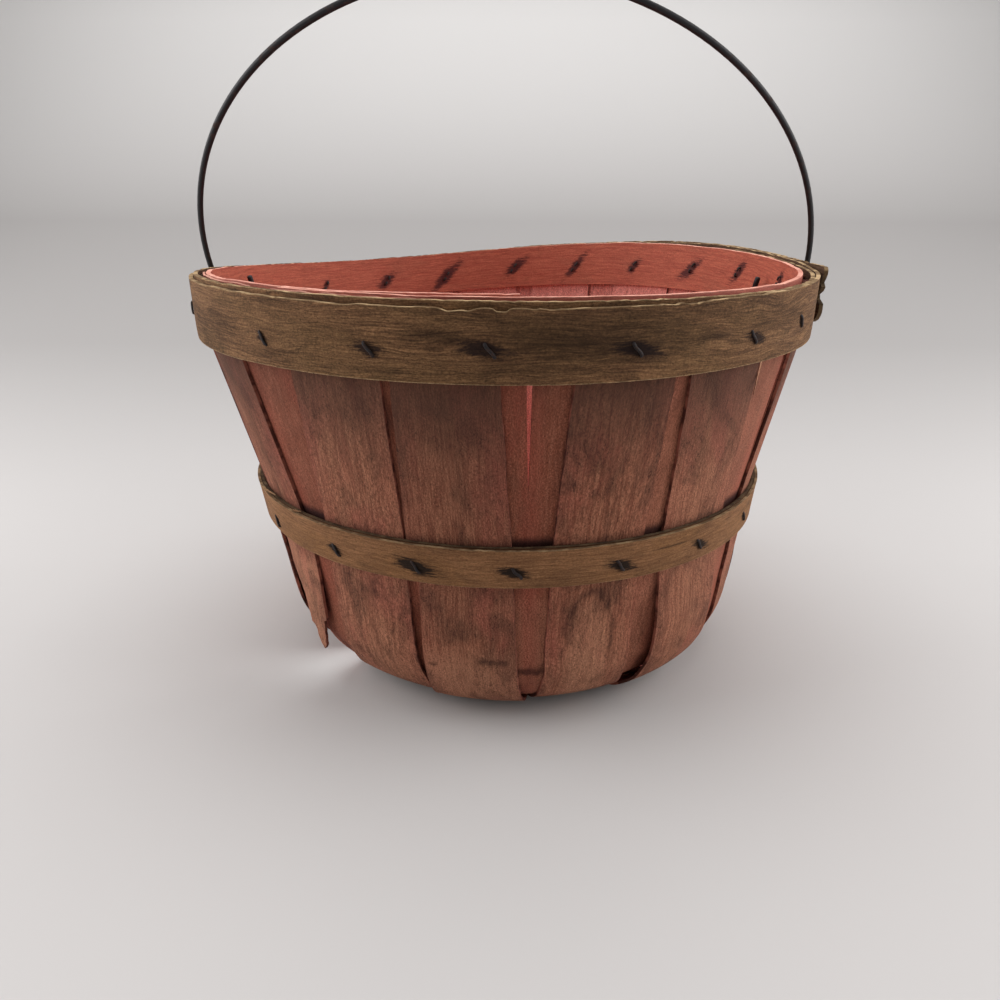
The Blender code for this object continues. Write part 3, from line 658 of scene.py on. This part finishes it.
def towardsRim(low, atRim, height):
    wall = basket["rimBottom"] - basket["cornerHeight"]
    return low + (atRim - low) * np.clip((height - basket["cornerHeight"]) / wall, 0, 1)


def depthSteps(order, s):
    # Staves are piled where they cross, shingle at four levels, then lie in two layers
    level, layer = order // 4, order // 8
    at = mould["at"]
    pileEnd = at[2] if layer == 0 else at[3]
    piled = 1 - smoothStep((s - at[1]) / (pileEnd - at[1]))
    below = level + (order - level) * piled
    merged = smoothStep((s - at[6]) / (at[7] - at[6]))
    return below * (1 - merged) + layer * merged


def staveFaces(order, direction, rimAzimuth, s, across, profile, backLean):
    # Outer and inner face points of a stave at path places s (below 0 is the back half)
    far = np.abs(s)
    side = np.where(s < 0, -1.0, 1.0)
    r, z, nr, nz = (np.interp(far, profile["s"], profile[key]) for key in ("r", "z", "nr", "nz"))
    atRim = np.where(s < 0, direction + backLean, rimAzimuth)
    heading = np.radians(towardsRim(direction, atRim, z))
    ahead = np.stack([np.sin(heading), -np.cos(heading)], axis=-1)
    aside = np.stack([np.cos(heading), np.sin(heading)], axis=-1)
    faces = []
    for more in (0.0, basket["veneer"]):
        depth = depthSteps(order, far) * layerPitch + more
        radius = r + depth * nr
        height = z + depth * nz
        rim = np.maximum(radius, basket["crossingRadius"])
        reach = np.sqrt(rim ** 2 - across ** 2) * np.where(radius < rim, radius / rim, 1.0)
        flat = ahead * (side * reach)[..., None] + aside * across[..., None]
        faces.append(settle(np.concatenate([flat, (height + 0 * across)[..., None]], axis=-1)))
    return faces


def staveGrid(s, left, right, columns=15):
    # Rows along the stave and columns across it, closer together at its edges
    share = (1 - np.cos(np.linspace(0, math.pi, columns))) / 2
    share = (0.35 * share + 0.65 * np.linspace(0, 1, columns))[None, :]
    return s[:, None] + 0 * share, left[:, None] + (right - left)[:, None] * share


topLength = float(alongAt(basket["height"] - 0.0015))  # to just under the rim's edge
rowSpacing = 0.0016
# Lengths in metres, and tones in shares
staveLook = {
    "edgeWander": 0.00022, "edgeFray": 0.00006, "roughEdge": 0.00003,
    "wornEdge": 0.0042,  # how far the left edge of outer_stave_1 has worn back
    "backLean": -3.2,    # degrees that the back half of inner_stave_1 leans
    "edgeShadeReach": 0.0007, "dirtShare": 0.60,  # painted shade and dirt along the edges of the staves above
    "shelteredAcross": -0.0205, "shelteredHeight": 0.045, "shelteredTone": 0.75, "freshTone": 0.30,
}
# Metres by which an edge is wider on the front half, left and right
widerEdges = {"inner_stave_1": (0.0085, 0.0), "inner_stave_3": (0.0, 0.0036),
              "inner_stave_7": (0.0036, 0.0)}
# How each piece differs from the others: paler above 0, darker below
tones = {
    "outer_stave_1": -0.12, "outer_stave_2": 0.10, "outer_stave_3": 0.12, "outer_stave_4": 0.34,
    "outer_stave_5": 0.08, "outer_stave_7": 0.10, "outer_stave_8": -0.05,
    "broken_stave_end_strip": -0.02, "inner_stave_1": -0.20, "inner_stave_3": 0.30,
    "inner_stave_4": 0.25, "inner_stave_6": 0.22, "inner_stave_7": 0.30,
}
# Painted light: the foot is painted brighter, against the shade where the wall turns under towards the
# ground. How much brighter the foot is, from what height down
paintedFootLight = {"outer_stave_1": (0.44, 0.055), "inner_stave_2": (0.34, 0.080),
             "outer_stave_6": (0.14, 0.055), "outer_stave_5": (0.10, 0.050)}
# Stains: height on the wall (below 0 is on the back half), place across, half length along
# and across, strength
staveMarks = {
    "outer_stave_5": ((0.070, -0.011, 0.0120, 0.0060, 0.62), (0.062, -0.003, 0.0110, 0.0040, 0.60),
                      (0.067, 0.004, 0.0080, 0.0070, 0.55), (0.058, 0.011, 0.0060, 0.0030, 0.45),
                      (0.046, 0.002, 0.0040, 0.0100, 0.35), (0.120, 0.004, 0.0120, 0.0040, 0.35)),
    "outer_stave_4": ((0.120, 0.004, 0.0500, 0.0240, 0.42),),
    "outer_stave_1": ((0.038, 0.012, 0.0026, 0.0080, 0.80), (0.052, -0.004, 0.0080, 0.0090, 0.55),
                      (0.118, 0.004, 0.0080, 0.0040, 0.40), (0.034, -0.014, 0.0018, 0.0020, 0.70),
                      (0.140, -0.002, 0.0100, 0.0150, 0.40), (0.064, -0.010, 0.0030, 0.0060, 0.40)),
    "outer_stave_6": ((0.117, -0.006, 0.0040, 0.0030, 0.65), (0.110, -0.010, 0.0030, 0.0020, 0.50),
                      (0.030, -0.008, 0.0040, 0.0030, 0.50)),
    "outer_stave_2": ((0.128, -0.004, 0.0050, 0.0040, 0.40), (0.048, 0.008, 0.0060, 0.0040, 0.40)),
    "outer_stave_8": ((-0.056, -0.0150, 0.0180, 0.0080, 0.90), (-0.070, 0.0060, 0.0080, 0.0040, 0.35)),
    # Painted shade, with dirt, in the narrow gap along its left edge
    "inner_stave_1": ((0.056, -0.0215, 0.0200, 0.0040, 0.90),),
    "inner_stave_2": ((0.030, 0.000, 0.0034, 0.0160, 0.85),),
}


# An arch round a hidden knot, low on one stave: a dark line round paler wood. Its line is as wide
# as that share of the arch
knotArch = {"stave": "outer_stave_6", "middle": 0.0460, "top": 0.0715, "across": -0.0010,
            "halfWidth": 0.0108, "wander": 0.0008, "lineShare": 0.13, "line": 0.66, "tone": 0.28}


def archShare(name, s, across):
    # 1 on the arch's line, less inside it and more outside
    if name != knotArch["stave"]:
        return np.full(s.shape, 9.0)
    middle = alongAt(knotArch["middle"])
    along = np.clip(s - middle, 0, None) / (alongAt(knotArch["top"]) - middle)
    aside = across - knotArch["across"] + knotArch["wander"] * waves(8, s, 0.02)
    return np.hypot(aside / knotArch["halfWidth"], along)


def edgeShadeAndDirt(order, direction, rimAzimuth, s, across):
    # Dirt gathers, and no light falls, along the edges of the staves that lie over this one
    r, z = (np.interp(np.abs(s), mould["s"], mould[key]) for key in ("r", "z"))

    def turned(wide):
        return np.degrees(np.arcsin(np.clip(wide / np.maximum(r, 0.03), -1, 1)))

    ahead = towardsRim(direction, rimAzimuth, z) + turned(across)
    azimuth = np.where(s < 0, direction + 180.0 - turned(across), ahead)
    total = np.zeros(s.shape)
    for other, (way, rimWay, width) in enumerate(staves.values()):
        over = np.where(z > basket["mergeHeight"], other // 8 < order // 8, other // 4 < order // 4)
        half = turned(towardsRim(width, staveWidthRim, z) / 2)
        for end in (towardsRim(way, rimWay, z), way + 180.0):
            gap = np.radians(np.abs(shortWay(azimuth, end)) - half) * r
            total = np.maximum(total, over * np.exp(-(gap / staveLook["edgeShadeReach"]) ** 2))
    return total * (z > 0.002)


def staveGrimeAndShade(name, order, direction, rimAzimuth, s, across):
    total = staveLook["dirtShare"] * edgeShadeAndDirt(order, direction, rimAzimuth, s, across)
    # Damp spreads unevenly, so no stain has a smooth outline
    ragged = waves(31, s + 0.4 * across, 0.0040) + waves(32, across - 0.2 * s, 0.0030)
    ragged = ragged + 0.6 * waves(33, across, 0.0011)
    for high, at, long, wide, strength in staveMarks.get(name, ()):
        x = s - math.copysign(alongAt(abs(high)), high)
        far = (x / long) ** 2 + ((across - at) / wide) ** 2
        stain = strength * np.exp(-far * np.exp(0.45 * ragged))
        total = np.maximum(total, stain * (1 - 0.16 * np.clip(ragged, -1, 1.5)))
    line = np.exp(-((archShare(name, s, across) - 1.0) / knotArch["lineShare"]) ** 2)
    return np.maximum(total, knotArch["line"] * line * smoothStep((s - alongAt(0.022)) / 0.025))


def makeStave(name, order, parts=None, rows=None, node=None, pieceName=None, profile=mould):
    direction, rimAzimuth, width = staves[name]
    kind = "outer" if order < 8 else "inner"
    seed = 100 + order * 7
    fullName = pieceName or name + "_strip"
    if rows is None:
        rows = np.linspace(-topLength, topLength, int(2 * topLength / rowSpacing))
    z = np.interp(np.abs(rows), profile["s"], profile["z"])
    high = z[:, None]
    half = towardsRim(width, staveWidthRim, z) / 2
    left, right = (side * half + staveLook["edgeWander"] * waves(seed + k, rows, 0.02)
                   + staveLook["edgeFray"] * waves(seed + k + 1, rows, 0.003)
                   for side, k in ((-1, 0), (1, 2)))
    if name == "outer_stave_1":
        # Its left edge has worn back below the waist hoop
        worn = smoothStep((hoops["mid"]["bottom"] + 0.003 - z) / 0.003)
        left = left + staveLook["wornEdge"] * worn * (rows > 0)
    # Where outer staves have shrunk apart, the inner ones behind are wide enough to fill the gap
    wider = widerEdges.get(name, (0.0, 0.0))
    left = left - wider[0] * (rows > 0) * (1 - 0.6 * smoothStep((z - 0.035) / 0.035))
    right = right + wider[1] * (rows > 0)
    if parts:
        left, right = parts(rows, z, left, right)
    s, across = staveGrid(rows, left, right)
    backLean = staveLook["backLean"] if name == "inner_stave_1" else 0.0
    outer, inner = staveFaces(order, direction, rimAzimuth, s, across, profile, backLean)
    middle = (across[:, :1] + across[:, -1:]) / 2
    halfWide = np.abs(across[:, -1:] - across[:, :1]) / 2
    tone = tones.get(fullName, tones.get(name, 0.0))
    tone = tone + knotArch["tone"] * smoothStep((1.05 - archShare(name, s, across)) / 0.5)
    brighter, below = paintedFootLight.get(name, (0.0, 0.05))
    # Painted light, brighter towards the foot
    tone = tone + brighter * smoothStep((below - high) / 0.025) * (s > 0)
    if name == "inner_stave_1":
        # Sheltered until the end over it broke off, and still bright
        sheltered = smoothStep((staveLook["shelteredAcross"] - across) / 0.002)
        sheltered = sheltered * smoothStep((staveLook["shelteredHeight"] - high) / 0.010)
        tone = tone + staveLook["shelteredTone"] * sheltered * (s > 0)
    if profile is not mould:
        # Below the waist hoop the broken end is clean, fresh wood
        fresh = smoothStep((basket["mergeHeight"] + 0.01 - high) / 0.02)
        tone = tone + staveLook["freshTone"] * fresh
    marks = makeMarks(s.shape, (s, across, seed * 1.3), ((across - middle) / halfWide, high, tone),
                      grime=staveGrimeAndShade(name, order, direction, rimAzimuth, s, across))
    return bandMesh(fullName, outer, inner, marks, looks[kind], "basket", node or name,
                    kind + "_veneer", staveLook["roughEdge"], seed)


# A split that opens towards the rim, and is a hair's breadth below
crack = {"across": -0.0022, "fromHeight": 0.1180, "toHeight": 0.1640, "wide": 0.0022, "hair": 0.00001,
         "wander": 0.00008}


def besideCrack(side, rows, z, left, right):
    share = np.clip((z - crack["fromHeight"]) / (crack["toHeight"] - crack["fromHeight"]), 0, 1)
    half = crack["hair"] + crack["wide"] / 2 * share ** 0.8 * (rows > 0)
    edge = crack["across"] + side * half + crack["wander"] * waves(5, rows, 0.01)
    return (left, edge) if side < 0 else (edge, right)


for order, name in enumerate(staves):
    if name == "outer_stave_4":
        # Only the back half and the part under the base are left of this one
        rows = np.linspace(-topLength, basket["baseRadius"] - 0.001, int(0.37 / rowSpacing))
        makeStave(name, order, rows=rows)
    elif name == "inner_stave_2":
        for side, word in ((-1, "left"), (1, "right")):
            makeStave(name, order, parts=partial(besideCrack, side), pieceName=f"{name}_{word}_strip")
    else:
        makeStave(name, order)

# The snapped-off front end hangs straight: its left and right edges at each height
brokenEnd = {
    "heights": (0.0185, 0.0215, 0.0300, 0.0302, 0.0345, 0.0368, 0.0375, 0.0470, 0.0595, 0.0760,
                0.0880, 0.1900),
    "left": (0.0098, 0.0070, 0.0056, 0.0020, 0.0019, 0.0018, 0.0018, 0.0012, -0.0060, -0.0090,
             -0.0196, -0.0192),
    "right": (0.0103, 0.0130, 0.0150, 0.0151, 0.0163, 0.0166, 0.0190, 0.0200, 0.0212, 0.0215,
              0.0200, 0.0192),
    "from": 0.0460, "slope": 0.10, "rows": 220,
}


def hangingProfile():
    # The mould, but straight below the waist
    start = float(alongAt(brokenEnd["from"]))
    size = math.hypot(1.0, brokenEnd["slope"])
    below = np.clip(start - mould["s"], 0, None)
    hangs = below > 0
    at = int(np.argmin(np.abs(mould["s"] - start)))
    bent = {"s": mould["s"]}
    bent["r"] = np.where(hangs, mould["r"][at] - below * brokenEnd["slope"] / size, mould["r"])
    bent["z"] = np.where(hangs, mould["z"][at] - below / size, mould["z"])
    bent["nr"] = np.where(hangs, -1 / size, mould["nr"])
    bent["nz"] = np.where(hangs, brokenEnd["slope"] / size, mould["nz"])
    return bent


def brokenEdges(rows, z, left, right):
    shape = brokenEnd
    rag = 0.00030 * waves(61, rows, 0.004) * np.clip((0.060 - z) / 0.02, 0, 1)
    left = np.interp(z, shape["heights"], shape["left"]) + rag
    return left, np.maximum(np.interp(z, shape["heights"], shape["right"]) + 0.5 * rag, left + 0.0003)


hangs = brokenEnd["from"] - brokenEnd["heights"][0]
lowest = float(alongAt(brokenEnd["from"])) - hangs * math.hypot(1, brokenEnd["slope"])
makeStave("outer_stave_4", 0, parts=brokenEdges, rows=np.linspace(lowest, topLength, brokenEnd["rows"]),
          node="broken_stave_end", pieceName="broken_stave_end_strip", profile=hangingProfile())
print("stage: staves bent")


def tube(name, points, radius, material, body, node, slotName, sides=12, flatten=None):
    # Sweeps a round or flattened wire along points, with closed, slightly rounded ends
    pts = np.array(points, dtype=float)
    n = len(pts)
    tangent = np.gradient(pts, axis=0)
    tangent /= np.linalg.norm(tangent, axis=1)[:, None]
    isRound = flatten is None
    ref = np.array((0.0, 1.0, 0.0) if isRound else flatten, dtype=float)
    squash = 1.0 if isRound else 0.72
    rings = []
    for point, ahead in zip(pts, tangent):
        b = ref - ahead * ref.dot(ahead)
        if np.linalg.norm(b) < 1e-6:
            b = np.array((0.0, 0.0, 1.0)) - ahead * ahead[2]
        b /= np.linalg.norm(b)
        c = np.cross(ahead, b)
        for a in np.arange(sides) * 2 * math.pi / sides:
            rings.append(point + radius * (squash * math.cos(a) * b + math.sin(a) * c))
    ends = [pts[0] - tangent[0] * radius * 0.5, pts[-1] + tangent[-1] * radius * 0.5]
    around = [(k, (k + 1) % sides) for k in range(sides)]
    last = (n - 1) * sides
    faces = [(row + k, row + j, row + sides + j, row + sides + k)
             for row in range(0, last, sides) for k, j in around]
    for k, j in around:
        faces += [(n * sides, j, k), (n * sides + 1, last + k, last + j)]
    mesh = bpy.data.meshes.new(name)
    mesh.from_pydata(np.array(rings + ends).tolist(), [], faces)
    mesh.update()
    mesh.shade_smooth()
    return place(name, mesh, material, body, node, slotName)


def roundCorners(points, radius, steps=4):
    # Replaces each inner corner by a short curve
    out = [Vector(points[0])]
    for before, here, after in zip(points, points[1:], points[2:]):
        here = Vector(here)
        ways = (Vector(before) - here, Vector(after) - here)
        start, end = (here + way.normalized() * min(radius, way.length * 0.45) for way in ways)
        for i in range(steps + 1):
            t = i / steps
            out.append(start * (1 - t) ** 2 + here * (2 * t * (1 - t)) + end * t ** 2)
    out.append(Vector(points[-1]))
    return out


def hoopFace(key, azimuth, height):
    # The radius of a hoop's near face where its last turn passes an azimuth
    hoop = hoops[key]
    first = (hoop["turn"] * (azimuth - hoop["start"])) % 360.0
    travel = np.array(first + 360.0 * math.floor((hoop["sweep"] - first) / 360.0))
    return float(wallRadius(height) + hoopOffset(key, travel))


def makeStaple(name, azimuth, height, outer, inner, node):
    rng = np.random.default_rng(int(azimuth * 10) + 5000)
    along = polar(azimuth + 90.0, 1.0, 0.0) * staples["reach"] - np.array((0, 0, staples["slant"]))
    along = along / np.linalg.norm(along)
    out = polar(azimuth, 1.0, 0.0)
    leg = math.hypot(staples["reach"], staples["slant"]) / 2
    half = staples["wire"] / 2
    seat = half * staples["seat"]
    end = inner - outer - staples["clearance"] - half
    crown = seat + rng.uniform(0.0, staples["crownLift"])
    # Driven by hand: the crown has buckled into a slight S
    buckle = rng.uniform(*staples["buckle"]) * rng.choice((-1.0, 1.0))
    path = [(-leg + staples["clinch"], end, 0.0), (-leg, end, 0.0), (-leg, seat, 0.0),
            (-leg / 2, crown, buckle), (leg / 2, crown, -buckle), (leg, seat, 0.0), (leg, end, 0.0),
            (leg - staples["clinch"], end, 0.0)]
    origin = polar(azimuth, outer, height)
    sideways = np.cross(along, out)
    points = [origin + along * p + out * q + sideways * w for p, q, w in path]
    rounded = roundCorners([Vector(p) for p in points], staples["corner"])
    settled = settle(np.array([list(p) for p in rounded]))
    tube(name, settled, half, looks["staple"], "basket", node, "dark_steel", 10, flatten=out)


for i, (azimuth, height) in enumerate(rimStaples):
    outer = hoopFace("top", azimuth, height) + hoops["top"]["thickness"]
    inner = hoopFace("inner", azimuth, height) - hoops["inner"]["thickness"]
    makeStaple(f"rimStapleWire_{i + 1}", azimuth, height, outer, inner, f"rim_staple_{i + 1}")
for i, (azimuth, height) in enumerate(midStaples):
    outer = hoopFace("mid", azimuth, height) + hoops["mid"]["thickness"]
    inner = float(wallRadius(height)) - 2 * layerPitch
    makeStaple(f"midStapleWire_{i + 1}", azimuth, height, outer, inner, f"mid_staple_{i + 1}")
print("stage: staples driven")

# Slivers torn off the edges: ends (azimuth, radius, height), width, the way it is wide, tone
splinters = {
    "coralSplinterLong": ((-74.0, 0.1396, 0.1898), (-42.0, 0.1402, 0.1904), 0.0011, "across", 0.9),
    "coralSplinterShort": ((-37.0, 0.1398, 0.1902), (-23.0, 0.1404, 0.1905), 0.0009, "across", 0.9),
    "coralSplinterThin": ((-24.0, 0.1400, 0.1903), (-12.0, 0.1404, 0.1905), 0.0007, "across", 0.7),
    "waistSplinterLeft": ((-66.0, 0.1277, 0.0930), (-54.0, 0.1278, 0.0965), 0.0009, "up", 0.2),
    "waistSplinterRight": ((-47.5, 0.1277, 0.0938), (-43.5, 0.1278, 0.0958), 0.0009, "up", -0.3),
    "staveSplinterRight": ((44.6, 0.1408, 0.1640), (43.6, 0.1399, 0.1500), 0.0015, "around", 1.0),
}
splinterWood = {"across": ("coral", "inner_hoop_veneer"), "up": ("waist", "hoop_veneer"),
                "around": ("outer", "outer_veneer")}
sliver = {"thickness": 0.0003, "length": 0.03, "wander": 0.00025, "points": 28}

for name, (start, end, wide, way, tone) in splinters.items():
    share = np.linspace(0, 1, sliver["points"])[:, None]
    across = np.array([-0.5, -0.2, 0.2, 0.5])[None, :]
    if way == "around":
        taper = 1.02 - share
    else:
        taper = np.clip(np.sin(math.pi * (0.06 + 0.92 * share)), 0.04, 1) ** 0.7
    seed = 700 + int(abs(start[0]))
    azimuth, radius, height = (a + (b - a) * share + 0 * across for a, b in zip(start, end))
    height = height + sliver["wander"] * waves(seed, share * sliver["length"], 0.01)
    off = across * taper * wide
    if way == "across":
        radius = radius + off
    elif way == "up":
        height = height + off
    else:
        azimuth = azimuth + np.degrees(off / radius)
    outer = settle(polar(azimuth, radius + sliver["thickness"] * (way != "across"),
                         height + sliver["thickness"] * (way == "across")))
    inner = settle(polar(azimuth, radius, height))
    marks = makeMarks(off.shape, (share * sliver["length"], off, seed), (2 * across, 0.10, tone))
    key, slotName = splinterWood[way]
    bandMesh(name, outer, inner, marks, looks[key], "basket", None, slotName, 0.00003, seed)

bail = {
    "wire": 0.00267, "halfSpan": 0.1515, "rise": 0.1489, "offsetSide": 0.0028, "sideLean": -0.052,
    "pivotBack": 0.0180, "pivotHeight": 0.1766, "bend": 0.0030, "hook": 0.0080, "forwardLean": 37.1,
}


def bailPath():
    b = bail
    centre = b["offsetSide"] - basket["rimLean"]
    reach = b["pivotBack"] + b["hook"] + b["wire"]
    wall = float(wallRadius(b["pivotHeight"])) - 2 * layerPitch
    face = wall - hoops["inner"]["thickness"] - basket["gap"]
    room = math.sqrt(face ** 2 - reach ** 2) - b["wire"]

    def end(side):
        inside = side * room - basket["rimLean"]
        outside = centre + side * b["halfSpan"]
        lift = 2 * b["bend"]
        return [(inside, 0, b["hook"]), (inside, 0, 0), (outside, 0, 0), (outside, 0, lift)]

    arch = []
    first = math.asin(2 * b["bend"] / b["rise"])
    for angle in np.linspace(first, math.pi - first, 91):
        high = b["rise"] * math.sin(angle)
        lean = b["sideLean"] * (high - 2 * b["bend"])
        arch.append((centre + b["halfSpan"] * math.cos(angle) + lean, 0, high))
    right = roundCorners(end(1), b["bend"], 8)[:-1]
    left = roundCorners(end(-1), b["bend"], 8)[:-1][::-1]
    points = right + [Vector(p) for p in arch] + left
    turn = Matrix.Rotation(math.radians(b["forwardLean"]), 3, "X")
    pivot = Vector((0, b["pivotBack"], b["pivotHeight"]))
    return [list(turn @ p + pivot) for p in points]


tube("wireBailRod", bailPath(), bail["wire"] / 2, looks["bail"], "bail", "wire_bail", "dark_steel", 16)
print("stage: bail bent")

# A pale sweep of paper to stand on, with painted light and shade, and soft light from both sides and
# above
studio = {
    "sweepFront": -1.6, "bendStart": 0.25, "bendRadius": 1.1, "sweepTop": 2.6, "sweepHalfWidth": 2.5,
    # Paper tones with painted light and shade, darker across the bend and brighter up the back, by how
    # far back they lie, of 1.3 m
    "paperShading": ((0.05, "#c2bfbe"), (0.46, "#a29f9e"), (0.68, "#a29f9e"), (0.92, "#dcdad9")),
    "surround": "#f4f2f0", "ambient": 0.32,
    # Each light's place, size and power, all turned to one point
    "aim": (0, 0, 0.1),
    "panels": {
        "leftPanel": ((-1.05, -0.05, 0.55), 1.0, 12.0),
        "rightPanel": ((1.05, -0.05, 0.55), 1.0, 12.0),
        "topPanel": ((0.0, 0.25, 1.25), 1.2, 11.0),
    },
    "cameraAt": (-0.0066, -0.3945, 0.2139), "cameraDown": 20.58, "cameraRoll": 0.16, "lens": 27.475,
}


def makeSweep():
    start, radius = studio["bendStart"], studio["bendRadius"]
    profile = [(studio["sweepFront"], 0.0), (start, 0.0)]
    for a in np.linspace(0, math.pi / 2, 25)[1:]:
        profile.append((start + radius * math.sin(a), radius * (1 - math.cos(a))))
    profile.append((start + radius, studio["sweepTop"]))
    half = studio["sweepHalfWidth"]
    verts = [(x, y, z) for y, z in profile for x in (-half, half)]
    faces = [(2 * i, 2 * i + 1, 2 * i + 3, 2 * i + 2) for i in range(len(profile) - 1)]
    mesh = bpy.data.meshes.new("paperSweep")
    mesh.from_pydata(verts, [], faces)
    mesh.shade_smooth()
    made = addObject("paperSweep", mesh)
    # Matt uncoated paper with no highlight; its tone is painted shade falling off towards the bend and
    # painted light up the back
    material, add = newMaterial("mattUncoatedPaper")
    back = add("SeparateXYZ", add("TexCoord").node.outputs["Object"]).node.outputs["Y"]
    tone = add("ValToRGB", add("MapRange", back, 0.0, 1.3))
    ramp = tone.node.color_ramp
    while len(ramp.elements) < len(studio["paperShading"]):
        ramp.elements.new(0.5)
    for element, (position, color) in zip(ramp.elements, studio["paperShading"]):
        element.position = position
        element.color = linear(color)
    add("OutputMaterial", add("BsdfPrincipled", {
        "Base Color": tone, "Roughness": 0.9, "Specular IOR Level": 0.1,
    }))
    mesh.materials.append(material)


makeSweep()
for name, (at, size, energy) in studio["panels"].items():
    data = bpy.data.lights.new(name, "AREA")
    data.shape = "SQUARE"
    data.size = size
    data.energy = energy
    light = addObject(name, data)
    light.location = at
    aim = Vector(studio["aim"]) - Vector(at)
    light.rotation_euler = aim.to_track_quat("-Z", "Y").to_euler()

world = bpy.data.worlds.new("softSurround")
bpy.context.scene.world = world
world.use_nodes = True
background = world.node_tree.nodes["Background"]
background.inputs["Color"].default_value = linear(studio["surround"])
background.inputs["Strength"].default_value = studio["ambient"]

cameraData = bpy.data.cameras.new("photoCamera")
cameraData.sensor_width = 36.0
cameraData.sensor_fit = "HORIZONTAL"
cameraData.lens = studio["lens"]
cameraData.clip_start = 0.01
camera = addObject("photoCamera", cameraData)
tilt = Matrix.Rotation(math.pi / 2 - math.radians(studio["cameraDown"]), 4, "X")
roll = Matrix.Rotation(math.radians(studio["cameraRoll"]), 4, "Z")
camera.matrix_world = Matrix.Translation(studio["cameraAt"]) @ tilt @ roll
bpy.context.scene.camera = camera
bpy.context.scene.view_settings.view_transform = "Standard"

print("stage: done")
